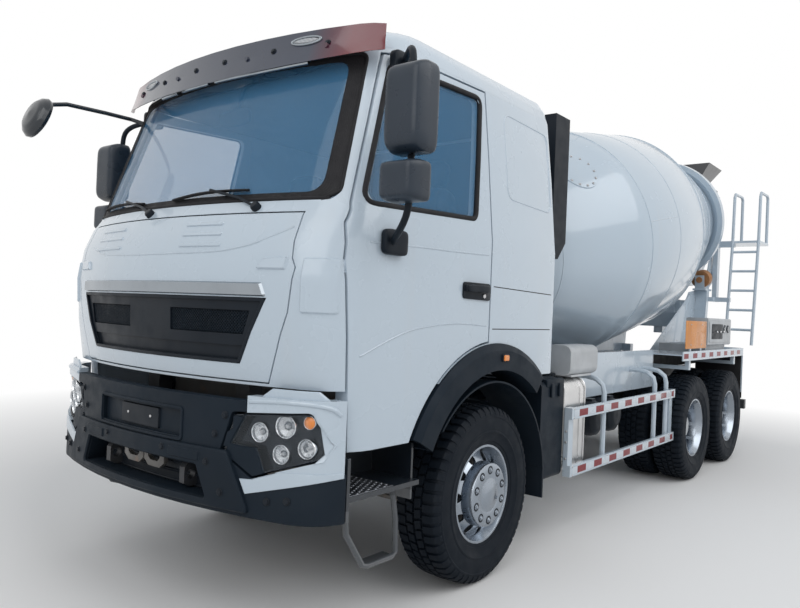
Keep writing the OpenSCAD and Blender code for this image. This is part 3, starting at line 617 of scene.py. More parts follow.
NODE_FINISH: dict[Finish, tuple[str, ...]] = {
    WHITE: ("cab_shell", "cab_roof", "door_left", "door_right", "front_panel", "lamp_surrounds",
            "mixer_subframe", "rear_pedestal", "side_guards", "rear_mudguards", "ladder", "discharge_funnel",
            "chute_arm", "chute", "water_tank"),
    DRUM_WHITE: ("drum",),
    FRAME: ("chassis_frame", "rear_bar"),
    HOPPER: ("hopper",),
    GREY: ("drum_drive", "control_box"),
    CAST: ("engine", "front_axle", "rear_axles", "leaf_springs", "knuckle_left", "knuckle_right"),
    CHARCOAL: ("bumper", "wheel_arches", "front_mudguards"),
    LOOPS: ("entry_steps",),
    BLACK: ("grille", "air_intake", "air_tanks"),
    CASE: ("mirrors_left", "mirrors_right"),
    GLOSS: ("front_mirror",),
    TANK: ("fuel_tank",),
    MUFFLER: ("exhaust_box",),
    ROLLER: ("support_rollers",),
    TRIM: ("dashboard",),
    CLOTH: ("seats",),
    GLASS: ("door_glass_left", "door_glass_right"),
    SCREEN: ("windscreen",),
    LENS: ("lamps",),
    VISOR: ("sun_visor",),
    TYRE: tuple(f"{tyre}_{side}" for side in Side
                for tyre in ("front_tyre", "drive_tyres_1", "drive_tyres_2")),
    RIM: tuple(f"{rim}_{side}" for side in Side for rim in ("front_rim", "drive_rims_1", "drive_rims_2")),
}


def turns(count: int, shift: float = 0.0) -> list[float]:
    """Angles of points spread evenly round a circle."""
    return [2 * math.pi * (k + shift) / count for k in range(count)]


def spread(start: float, end: float, cuts: int) -> list[float]:
    """Values at even steps from one number to another, with both ends."""
    return [start + (end - start) * k / cuts for k in range(cuts + 1)]


def blend(a: Pair, b: Pair, t: float) -> Pair:
    """Point part of the way from one point to another."""
    return (a[0] + (b[0] - a[0]) * t, a[1] + (b[1] - a[1]) * t)


def trapezium(low_half: float, low: float, high_half: float, high: float) -> list[Pair]:
    """Corners of a form that is even about the middle, from its half width and level below and above."""
    return [(-low_half, low), (low_half, low), (high_half, high), (-high_half, high)]


def rectangle(first: Pair, last: Pair) -> list[Pair]:
    """Corners of a rectangle from two opposite ones."""
    return [first, (last[0], first[1]), last, (first[0], last[1])]


def from_side(u: float, v: float, w: float) -> Triple:
    """Point of an outline drawn in x and z, at a distance from the truck's middle."""
    return (u, w, v)


def from_front(u: float, v: float, w: float) -> Triple:
    """Point of an outline drawn in y and z, at a distance ahead of the axle."""
    return (w, u, v)


def plane_at(x: float) -> Place:
    """Upright plane across the truck.

    Args:
        x: Where the plane stands.

    Returns:
        A function that gives the plane's point at y and z.
    """
    def place(y: float, z: float) -> Vector:
        """Point of the plane."""
        return Vector((x, y, z))

    return place


def eased(points: Sequence[Pair], count: int) -> list[Pair]:
    """Smooth line through points.

    Args:
        points: Points that the line passes.
        count: Pieces of the line.

    Returns:
        The line's points.
    """
    result = []
    last = len(points) - 1
    for s in spread(0.0, last, count):
        i = min(int(s), last - 1)
        t = s - i
        p0, p1, p2, p3 = (Vector(points[max(0, min(last, i + d))]) for d in (-1, 0, 1, 2))
        spot = p1 * 2 + (p2 - p0) * t
        spot += (p0 * 2 - p1 * 5 + p2 * 4 - p3) * t * t
        spot += (p1 * 3 - p0 - p2 * 3 + p3) * t ** 3
        result.append(tuple(spot / 2))
    return result


def bent(start: Vector, corner: Vector, end: Vector, cuts: int) -> list[Vector]:
    """Points of a bend that eases round a corner."""
    return [start * (1 - t) ** 2 + corner * 2 * t * (1 - t) + end * t * t for t in spread(0.0, 1.0, cuts)]


def even_outline(corners: Sequence[Pair], radius: float, edge_cuts: int, arc_cuts: int) -> list[Pair]:
    """Closed outline with round corners and points spread along its edges.

    Args:
        corners: Corners in order.
        radius: Radius at each corner.
        edge_cuts: Pieces of each straight edge.
        arc_cuts: Pieces of each corner.

    Returns:
        The outline's points, anticlockwise.
    """
    points = [Vector(c) for c in corners]
    area = sum(a.x * b.y - b.x * a.y for a, b in zip(points, points[1:] + points[:1]))
    if area < 0:
        points.reverse()
    count = len(points)
    arcs: list[list[Vector]] = []
    for i, corner in enumerate(points):
        before = (points[i - 1] - corner).normalized()
        after = (points[(i + 1) % count] - corner).normalized()
        half = before.angle(after) / 2
        reach = radius / math.tan(half)
        start, end = corner + before * reach, corner + after * reach
        arcs.append(bent(start, corner, end, arc_cuts))
    ring: list[Pair] = []
    for i, bend in enumerate(arcs):
        ring.extend((p.x, p.y) for p in bend)
        last, first = bend[-1], arcs[(i + 1) % count][0]
        ring.extend(tuple(last.lerp(first, k / edge_cuts)) for k in range(1, edge_cuts))
    return ring


def inset(ring: Sequence[Pair], gap: float) -> list[Pair]:
    """Moves an anticlockwise outline inwards, or outwards where the gap is negative.

    Args:
        ring: The outline's points.
        gap: How far it moves.

    Returns:
        The moved points.
    """
    moved = []
    for i, point in enumerate(ring):
        a, b, c = Vector(ring[i - 1]), Vector(point), Vector(ring[(i + 1) % len(ring)])
        normals = [Vector((-(q - p).y, (q - p).x)).normalized() for p, q in ((a, b), (b, c))]
        mid = (normals[0] + normals[1]).normalized()
        moved.append(tuple(b + mid * (gap / max(0.4, mid.dot(normals[0])))))
    return moved


class Skin:
    """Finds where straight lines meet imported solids, in metres from the front axle."""

    def __init__(self, *nodes: str) -> None:
        """Gathers the faces of some nodes.

        Args:
            nodes: Names of the nodes.
        """
        verts: list[Vector] = []
        faces: list[list[int]] = []
        for name in nodes:
            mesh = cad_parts[name].data
            base = len(verts)
            verts.extend(v.co - FORWARD * AXLE_X for v in mesh.vertices)
            faces.extend([base + i for i in p.vertices] for p in mesh.polygons)
        self.tree = BVHTree.FromPolygons(verts, faces)

    def hit(self, start: Vector, way: Vector) -> Vector:
        """First point on a line, or the nearest point of the solids where the line misses."""
        found = self.tree.ray_cast(start, way)[0]
        return found if found is not None else self.tree.find_nearest(start + way * RAY_NEAR)[0]

    def front(self, y: float, z: float) -> Vector:
        """Point seen from ahead."""
        return self.hit(Vector((RAY_START, y, z)), -FORWARD)

    def left(self, x: float, z: float) -> Vector:
        """Point seen from the truck's left."""
        return self.hit(Vector((x, RAY_START, z)), -LEFT)

    def front_line(self, path: Iterable[Pair], lift: float) -> list[Vector]:
        """Points seen from ahead along a line in y and z, moved forwards."""
        return [self.front(y, z) + FORWARD * lift for y, z in path]

    def left_line(self, path: Iterable[Pair], lift: float) -> list[Vector]:
        """Points seen from the left along a line in x and z, moved to the left."""
        return [self.left(x, z) + LEFT * lift for x, z in path]


class Shape:
    """Collects faces, in metres from the front axle, and turns them into one piece."""

    def __init__(self) -> None:
        """Starts empty."""
        self.verts: list[Vector] = []
        self.faces: list[tuple[int, ...]] = []

    def add(self, verts: Iterable[Sequence[float]], faces: Iterable[Sequence[int]]) -> None:
        """Adds points and the faces between them.

        Args:
            verts: The points.
            faces: Numbers of each face's points.
        """
        base = len(self.verts)
        self.verts.extend(Vector(v) for v in verts)
        self.faces.extend(tuple(base + i for i in f) for f in faces)

    def absorb(self, mesh: bmesh.types.BMesh) -> None:
        """Adds a whole edit mesh and frees it.

        Args:
            mesh: The edit mesh.
        """
        mesh.verts.index_update()
        self.add([v.co for v in mesh.verts], [[v.index for v in f.verts] for f in mesh.faces])
        mesh.free()

    def box(self, low: Triple, high: Triple, bevel: float = 0.003) -> None:
        """Block with rounded edges between two corners.

        Args:
            low: Corner with the smallest coordinates.
            high: Corner with the largest coordinates.
            bevel: Rounding of the edges.
        """
        mesh = bmesh.new()
        bmesh.ops.create_cube(mesh, size=1.0)
        a, b = Vector(low), Vector(high)
        for v in mesh.verts:
            v.co = Vector((a + b) / 2 + Vector(s * d for s, d in zip(v.co, b - a)))
        self.rounded(mesh, mesh.edges[:], min(bevel, min(b - a) * 0.45))
        self.absorb(mesh)

    @staticmethod
    def rounded(mesh: bmesh.types.BMesh, edges: Sequence[bmesh.types.BMEdge], radius: float) -> None:
        """Rounds some edges of an edit mesh."""
        bmesh.ops.bevel(mesh, geom=edges, offset=radius, segments=2, affect="EDGES", profile=0.6)

    def prism(self, outline: Sequence[Pair], place: Callable[[float, float, float], Triple], low: float,
              high: float, bevel: float = 0.003) -> None:
        """Outline pushed from one level to another, with rounded rims.

        Args:
            outline: Points of the outline.
            place: Gives a point from the outline's two coordinates and the level.
            low: First level.
            high: Last level.
            bevel: Rounding of the rims.
        """
        mesh = bmesh.new()
        rings = [[mesh.verts.new(place(u, v, w)) for u, v in outline] for w in (low, high)]
        count = len(outline)
        mesh.faces.new(rings[0][::-1])
        mesh.faces.new(rings[1])
        for i in range(count):
            j = (i + 1) % count
            mesh.faces.new((rings[0][i], rings[0][j], rings[1][j], rings[1][i]))
        self.rounded(mesh, [e for e in mesh.edges if len({v in rings[0] for v in e.verts}) == 1], bevel)
        self.absorb(mesh)

    def lathe(self, profile: Sequence[Pair], centre: Sequence[float], axis: Sequence[float], steps: int = 48,
              loop: bool = False) -> None:
        """Turned form.

        Args:
            profile: Radius and distance along the axis, in order.
            centre: Where the axis starts.
            axis: Direction of the axis.
            steps: Points round the axis.
            loop: True where the profile closes on itself.
        """
        way = Vector(axis).normalized()
        side = way.orthogonal().normalized()
        across = way.cross(side)
        middle = Vector(centre)
        rings = []
        for radius, along in profile:
            point = middle + way * along
            rings.append([point + side * radius * math.cos(a) + across * radius * math.sin(a)
                          for a in turns(steps)])
        self.loft(rings, loop)

    def tube(self, path: Sequence[Sequence[float]], radius: float, sides: int = 10, closed: bool = False
             ) -> None:
        """Round bar along a path.

        Args:
            path: Points of the path.
            radius: Radius of the bar.
            sides: Points round it.
            closed: True where the path ends where it starts.
        """
        points = [Vector(p) for p in path]
        count = len(points)
        rings: list[list[Vector]] = []
        side: Optional[Vector] = None
        for i, point in enumerate(points):
            before = points[i - 1] if closed or i else points[0]
            after = points[(i + 1) % count] if closed or i < count - 1 else points[-1]
            way = (after - before).normalized()
            side = way.orthogonal() if side is None else side - way * side.dot(way)
            side.normalize()
            across = way.cross(side)
            rings.append([point + (side * math.cos(a) + across * math.sin(a)) * radius for a in turns(sides)])
        self.loft(rings, closed)

    def loft(self, rings: Sequence[Sequence[Sequence[float]]], loop: bool = False) -> None:
        """Joins rings with the same number of points.

        Args:
            rings: Points of each ring.
            loop: True where the last ring joins the first; both ends are capped otherwise.
        """
        total, count = len(rings), len(rings[0])
        faces: list[Sequence[int]] = []
        for i in range(total if loop else total - 1):
            j = (i + 1) % total
            for k in range(count):
                m = (k + 1) % count
                faces.append((i * count + k, i * count + m, j * count + m, j * count + k))
        if not loop:
            faces.extend((range(count), range((total - 1) * count, total * count)))
        self.add([point for ring in rings for point in ring], faces)

    def bolt(self, centre: Sequence[float], axis: Sequence[float], radius: float, height: float) -> None:
        """Hexagon bolt head on a washer.

        Args:
            centre: Where the bolt stands.
            axis: Direction that it points in.
            radius: Radius of the head.
            height: Height of the head.
        """
        washer = [(radius * 1.35, -0.002), (radius * 1.35, height * 0.2), (radius, height * 0.26)]
        self.lathe([(0, -0.002)] + washer + [(0, height * 0.26)], centre, axis, 16)
        head = [(radius, height * 0.2), (radius, height * 0.88), (radius * 0.86, height)]
        self.lathe([(0, height * 0.2)] + head + [(0, height)], centre, axis, 6)

    def patch(self, outline: Sequence[Pair], place: Place, out: Vector, lift: float, sink: float = 0.004,
              chamfer: float = 0.004, step: float = 0.06) -> None:
        """Raised panel that follows a surface.

        Args:
            outline: Closed outline in the surface's two coordinates.
            place: Gives the surface point under two coordinates.
            out: Direction away from the surface.
            lift: Height over the surface.
            sink: Depth under it.
            chamfer: Slope of the rim.
            step: Spacing of the points on its face.
        """
        ring = list(outline)
        if sum(a[0] * b[1] - b[0] * a[1] for a, b in zip(ring, ring[1:] + ring[:1])) < 0:
            ring.reverse()
        inner = inset(ring, chamfer)
        flat = [Vector(p) for p in inner]
        count = len(flat)
        low = [min(p[i] for p in inner) for i in (0, 1)]
        high = [max(p[i] for p in inner) for i in (0, 1)]
        near = step * 0.4
        for i in range(1, int((high[0] - low[0]) / step) + 1):
            for j in range(1, int((high[1] - low[1]) / step) + 1):
                spot = Vector((low[0] + i * step, low[1] + j * step))
                if self.inside(spot, inner) and all((spot - p).length > near for p in flat[:count]):
                    flat.append(spot)
        loop = [(i, (i + 1) % count) for i in range(count)]
        points, _, faces, sources, _, _ = delaunay_2d_cdt(flat, loop, [], 1, 1e-6)
        new = {old: j for j, olds in enumerate(sources) for old in olds}
        total = len(points)
        verts = [place(p.x, p.y) + out * lift for p in points]
        verts += [place(p.x, p.y) - out * sink for p in points]
        verts += [place(u, v) - out * sink for u, v in ring]
        skin: list[Sequence[int]] = [tuple(f) for f in faces]
        skin += [tuple(total + i for i in reversed(f)) for f in faces]
        for i, j in loop:
            skin.append((new[i], new[j], 2 * total + j, 2 * total + i))
            skin.append((total + new[j], total + new[i], 2 * total + i, 2 * total + j))
        self.add(verts, skin)

    @staticmethod
    def inside(spot: Vector, ring: Sequence[Pair]) -> bool:
        """Tells whether a point lies in an outline.

        Args:
            spot: The point.
            ring: The outline.

        Returns:
            True where it lies inside.
        """
        odd = False
        for a, b in zip(ring, list(ring[1:]) + [ring[0]]):
            if (a[1] > spot.y) != (b[1] > spot.y):
                if spot.x < (b[0] - a[0]) * (spot.y - a[1]) / (b[1] - a[1]) + a[0]:
                    odd = not odd
        return odd

    def band(self, outer: Sequence[Pair], inner: Sequence[Pair], place: Place, out: Vector, lift: float,
             sink: float = 0.004, chamfer: float = 0.003) -> None:
        """Raised frame between two outlines with the same number of points.

        Args:
            outer: Outer outline, anticlockwise.
            inner: Inner outline, anticlockwise.
            place: Gives the surface point under two coordinates.
            out: Direction away from the surface.
            lift: Height over the surface.
            sink: Depth under it.
            chamfer: Slope of both rims.
        """
        rows = ((outer, -sink), (outer, lift - chamfer), (inset(outer, chamfer), lift),
                (inset(inner, -chamfer), lift), (inner, lift - chamfer), (inner, -sink))
        self.loft([[place(u, v) + out * level for u, v in ring] for ring, level in rows], loop=True)

    def crowned(self, centre: Sequence[float], half: Triple, power: float = 5.0, cuts: int = 14,
                turn: Optional[Matrix] = None, shape: Optional[Callable[[Vector], Vector]] = None) -> None:
        """Rounded block whose faces bulge.

        Args:
            centre: Middle of the block.
            half: Half sizes before turning.
            power: Squareness, 2 for an egg and more for a block.
            cuts: Pieces of each edge.
            turn: Rotation about the middle.
            shape: Change of each point on the unit block.
        """
        mesh = bmesh.new()
        bmesh.ops.create_cube(mesh, size=2.0)
        bmesh.ops.subdivide_edges(mesh, edges=mesh.edges[:], cuts=cuts, use_grid_fill=True)
        for v in mesh.verts:
            size = sum(abs(c) ** power for c in v.co) ** (1 / power)
            spot = v.co / size
            if shape:
                spot = shape(spot)
            spot = Vector(s * h for s, h in zip(spot, half))
            v.co = Vector(centre) + (turn @ spot if turn else spot)
        self.absorb(mesh)

    def mirrored(self) -> "Shape":
        """Adds the mirror image on the other side of the truck.

        Returns:
            The shape itself.
        """
        base = len(self.verts)
        self.verts.extend([Vector((v.x, -v.y, v.z)) for v in self.verts])
        self.faces.extend([tuple(base + i for i in reversed(f)) for f in self.faces])
        return self

    def on(self, side: Side) -> "Shape":
        """Moves a piece drawn for the left to a side.

        Args:
            side: Side of the truck.

        Returns:
            The shape itself.
        """
        if side is Side.RIGHT:
            for v in self.verts:
                v.y = -v.y
            self.faces = [tuple(reversed(f)) for f in self.faces]
        return self

    def make(self, name: str, finish: Finish, body: str = "chassis", replaces: Sequence[str] = (),
             smooth: float = 34.0) -> bpy.types.Object:
        """Makes the piece, gives it its finish and lets it ride on a body.

        Args:
            name: Name of the piece.
            finish: Its finish.
            body: Body that it moves with.
            replaces: Nodes that it stands for.
            smooth: Edges sharper than this, in degrees, stay sharp.

        Returns:
            The new object.
        """
        mesh = bpy.data.meshes.new(name)
        mesh.from_pydata([v + FORWARD * AXLE_X for v in self.verts], [], self.faces)
        edit = bmesh.new()
        edit.from_mesh(mesh)
        bmesh.ops.remove_doubles(edit, verts=edit.verts[:], dist=1e-6)
        bmesh.ops.dissolve_degenerate(edit, dist=1e-6, edges=edit.edges[:])
        bmesh.ops.recalc_face_normals(edit, faces=edit.faces[:])
        edit.to_mesh(mesh)
        edit.free()
        mesh.shade_smooth()
        mesh.set_sharp_from_angle(angle=math.radians(smooth))
        piece = bpy.data.objects.new(name, mesh)
        bpy.context.scene.collection.objects.link(piece)
        mesh.materials.append(finish.material())
        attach(piece, body)
        if replaces:
            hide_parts(*replaces)
        LOG.info("%s on %s: %d faces", name, body, len(mesh.polygons))
        return piece


def shapes(count: int) -> list[Shape]:
    """Empty shapes for several pieces."""
    return [Shape() for _ in range(count)]


@dataclass
class Solids:
    """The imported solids: their finishes and the smooth shading of their curved faces."""

    crease: float = 28.0
    merge: float = 0.00002

    def smoother(self) -> bpy.types.NodeTree:
        """Node group that joins split points and shades shallow edges smooth.

        Returns:
            The node group.
        """
        group = bpy.data.node_groups.new("smooth_faces", "GeometryNodeTree")
        group.interface.new_socket("Geometry", in_out="INPUT", socket_type="NodeSocketGeometry")
        group.interface.new_socket("Geometry", in_out="OUTPUT", socket_type="NodeSocketGeometry")
        add, link = group.nodes.new, group.links.new
        source, result = add("NodeGroupInput"), add("NodeGroupOutput")
        bare = add("GeometryNodeRemoveAttribute")
        bare.inputs["Name"].default_value = "custom_normal"
        joined = add("GeometryNodeMergeByDistance")
        joined.inputs["Distance"].default_value = self.merge
        faces, edges = add("GeometryNodeSetShadeSmooth"), add("GeometryNodeSetShadeSmooth")
        edges.domain = "EDGE"
        edges.inputs["Shade Smooth"].default_value = False
        angle, test = add("GeometryNodeInputMeshEdgeAngle"), add("FunctionNodeCompare")
        test.operation = "GREATER_THAN"
        test.inputs["B"].default_value = math.radians(self.crease)
        link(source.outputs[0], bare.inputs["Geometry"])
        link(bare.outputs[0], joined.inputs["Geometry"])
        link(joined.outputs[0], faces.inputs["Geometry"])
        link(faces.outputs[0], edges.inputs["Geometry"])
        link(angle.outputs["Unsigned Angle"], test.inputs["A"])
        link(test.outputs[0], edges.inputs["Selection"])
        link(edges.outputs[0], result.inputs[0])
        return group

    def dress(self) -> None:
        """Gives every node its finish and its smooth shading."""
        group = self.smoother()
        for finish, names in NODE_FINISH.items():
            for name in names:
                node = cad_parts[name]
                for place in node.material_slots:
                    place.material = finish.material()
                node.modifiers.new("smooth_faces", "NODES").node_group = group
            LOG.info("%s on %d nodes", finish.name, len(names))


@dataclass
class Studio:
    """Camera, soft light, white surroundings and floor."""

    eye: Triple = (3.75678, 3.43006, 1.63704)
    yaw: float = -141.4608
    pitch: float = 0.48286
    roll: float = 2.36518
    focal: float = 32.0744
    sensor: float = 36.0
    far: float = 400.0
    sky: float = 0.5
    sky_color: Color = (0.95, 0.975, 1.0)
    key_power: float = 560.0
    front_power: float = 252.0
    aim: Triple = (-0.5, 0.0, 1.2)
    floor_half: float = 60.0
    floor_drop: float = 0.001
    floor_color: Color = (0.86, 0.86, 0.86)
    floor_fade: Pair = (4.5, 9.0)

    def build(self) -> None:
        """Sets up everything round the truck."""
        self.camera()
        self.world()
        self.lamps()
        self.floor()

    def camera(self) -> None:
        """Camera at the photograph's viewing angle."""
        yaw, pitch, roll = (math.radians(a) for a in (self.yaw, self.pitch, self.roll))
        ahead = Vector((math.cos(yaw) * math.cos(pitch), math.sin(yaw) * math.cos(pitch), math.sin(pitch)))
        right = Vector((math.sin(yaw), -math.cos(yaw), 0))
        up = right.cross(ahead)
        side = right * math.cos(roll) + up * math.sin(roll)
        top = up * math.cos(roll) - right * math.sin(roll)
        data = bpy.data.cameras.new("camera")
        data.lens, data.sensor_width, data.sensor_fit = self.focal, self.sensor, "HORIZONTAL"
        data.clip_end = self.far
        view = bpy.data.objects.new("camera", data)
        bpy.context.scene.collection.objects.link(view)
        turn = Matrix((side, top, -ahead)).transposed().to_4x4()
        view.matrix_world = Matrix.Translation(Vector(self.eye) + FORWARD * AXLE_X) @ turn
        bpy.context.scene.camera = view
        bpy.context.scene.view_settings.view_transform = "Standard"

    @staticmethod
    def seen_by(tree: bpy.types.NodeTree) -> Socket:
        """Mask of camera, mirror and see-through rays.

        Args:
            tree: Node tree that the mask is for.

        Returns:
            The mask's socket.
        """
        path = tree.nodes.new("ShaderNodeLightPath")
        mask = path.outputs["Is Camera Ray"]
        for name in ("Is Glossy Ray", "Is Transmission Ray"):
            most = tree.nodes.new("ShaderNodeMath")
            most.operation = "MAXIMUM"
            tree.links.new(mask, most.inputs[0])
            tree.links.new(path.outputs[name], most.inputs[1])
            mask = most.outputs[0]
        return mask

    def world(self) -> None:
        """Pale even sky that looks white and lights at a plain level."""
        world = bpy.data.worlds.new("studio")
        world.use_nodes = True
        bpy.context.scene.world = world
        tree = world.node_tree
        tree.nodes.clear()
        light, white = tree.nodes.new("ShaderNodeBackground"), tree.nodes.new("ShaderNodeBackground")
        light.inputs["Color"].default_value = (*self.sky_color, 1.0)
        light.inputs["Strength"].default_value = self.sky
        white.inputs["Color"].default_value = (1.0, 1.0, 1.0, 1.0)
        mix, out = tree.nodes.new("ShaderNodeMixShader"), tree.nodes.new("ShaderNodeOutputWorld")
        tree.links.new(self.seen_by(tree), mix.inputs[0])
        tree.links.new(light.outputs[0], mix.inputs[1])
        tree.links.new(white.outputs[0], mix.inputs[2])
        tree.links.new(mix.outputs[0], out.inputs[0])

    def lamps(self) -> None:
        """Two broad soft lamps, one over the truck's left and one ahead."""
        for name, spot, size, power in (
                ("key_lamp", (0.5, 9.0, 9.5), (14.0, 8.0), self.key_power),
                ("front_lamp", (10.0, 2.0, 7.0), (7.0, 7.0), self.front_power)):
            data = bpy.data.lights.new(name, "AREA")
            data.shape, data.size, data.size_y = "RECTANGLE", *size
            data.energy = power
            lamp = bpy.data.objects.new(name, data)
            bpy.context.scene.collection.objects.link(lamp)
            lamp.location = spot
            aim = Vector(self.aim) - lamp.location
            lamp.rotation_euler = aim.to_track_quat("-Z", "Y").to_euler()

    def floor(self) -> None:
        """Pale floor that fades to white away from the truck."""
        half = self.floor_half
        mesh = bpy.data.meshes.new("floor")
        corners = [(x, y, 0) for x, y in rectangle((-half, -half), (half, half))]
        mesh.from_pydata(corners, [], [(0, 1, 2, 3)])
        floor = bpy.data.objects.new("floor", mesh)
        bpy.context.scene.collection.objects.link(floor)
        floor.location.z = -self.floor_drop
        shader = Shader("floor_finish", self.floor_color, 0.9)
        tree = shader.tree
        glow, mix = tree.nodes.new("ShaderNodeEmission"), tree.nodes.new("ShaderNodeMixShader")
        reach = shader.put("VectorMath")
        reach.operation = "LENGTH"
        tree.links.new(shader.place, reach.inputs[0])
        fade = shader.span(reach.outputs["Value"], *self.floor_fade, 0.0, 1.0)
        tree.links.new(shader.times(fade, self.seen_by(tree)), mix.inputs[0])
        tree.links.new(shader.bsdf.outputs[0], mix.inputs[1])
        tree.links.new(glow.outputs[0], mix.inputs[2])
        tree.links.new(mix.outputs[0], tree.nodes["Material Output"].inputs[0])
        mesh.materials.append(shader.material)


@dataclass
class Tyre:
    """Block-tread truck tyre."""

    radius: float = 0.538
    groove: float = 0.016
    pitches: int = 54
    steps: int = 108
    shoulder_width: float = 0.37
    shoulder_slant: float = 0.1
    middle_width: float = 0.43
    middle_slant: float = 0.35

    def carcass(self) -> list[Pair]:
        """Half section from the bead over the sidewall to the middle of the tread.

        Returns:
            Radius and y of each point.
        """
        base = self.radius - self.groove
        return [(0.29, 0.108), (0.294, 0.122), (0.302, 0.131), (0.318, 0.134), (0.322, 0.139),
                (0.345, 0.145), (0.372, 0.152), (0.376, 0.155), (0.384, 0.155), (0.388, 0.152),
                (0.415, 0.1545), (0.44, 0.1535), (0.466, 0.151), (0.47, 0.1535), (0.478, 0.1525),
                (0.482, 0.149), (0.5, 0.144), (base - 0.008, 0.132), (base, 0.112), (base, 0.05)]

    def build(self, shape: Shape, x: float, y: float) -> None:
        """Adds one tyre.

        Args:
            shape: Shape that takes the faces.
            x: Axle's x.
            y: Middle of the tyre.
        """
        half = self.carcass()
        section = half + [(r, -w) for r, w in reversed(half)]
        centre = (x, y, self.radius)
        shape.lathe(section, centre, (0, 1, 0), self.steps, loop=True)
        base = self.radius - self.groove - 0.004
        edge = self.radius
        shoulder = [(0.06, edge - 0.0015, base), (0.104, edge - 0.004, base),
                    (0.128, edge - 0.01, base - 0.008), (0.146, edge - 0.034, base - 0.028),
                    (0.1505, edge - 0.05, base - 0.036)]
        middle = [(0.007, edge, base), (0.048, edge - 0.001, base)]
        turn = 2 * math.pi / self.pitches
        for k in range(self.pitches):
            for sign, outer, inner in ((1, 0.0, 0.3), (-1, 0.5, 0.8)):
                self.block(shape, centre, shoulder, sign, turn * (k + outer), turn * self.shoulder_width,
                           self.shoulder_slant)
                self.block(shape, centre, middle, sign, turn * (k + inner), turn * self.middle_width,
                           self.middle_slant)

    @staticmethod
    def block(shape: Shape, centre: Triple, levels: Sequence[Triple], sign: int, angle: float, width: float,
              slant: float) -> None:
        """Adds one tread block.

        Args:
            shape: Shape that takes the faces.
            centre: Middle of the tyre.
            levels: Distance from the middle, top radius and bottom radius, along the block.
            sign: 1 or -1 for the block's half of the tread.
            angle: Where it sits round the tyre.
            width: Half its angle.
            slant: How far it leans along the tread.
        """
        rings = []
        for w, top, bottom in levels:
            lean = angle + slant * (w - levels[0][0])
            corners = ((bottom, -width), (top, -width * 0.88), (top, width * 0.88), (bottom, width))
            rings.append([(centre[0] + radius * math.cos(lean + a), centre[1] + sign * w,
                           centre[2] + radius * math.sin(lean + a)) for radius, a in corners])
        shape.loft(rings)


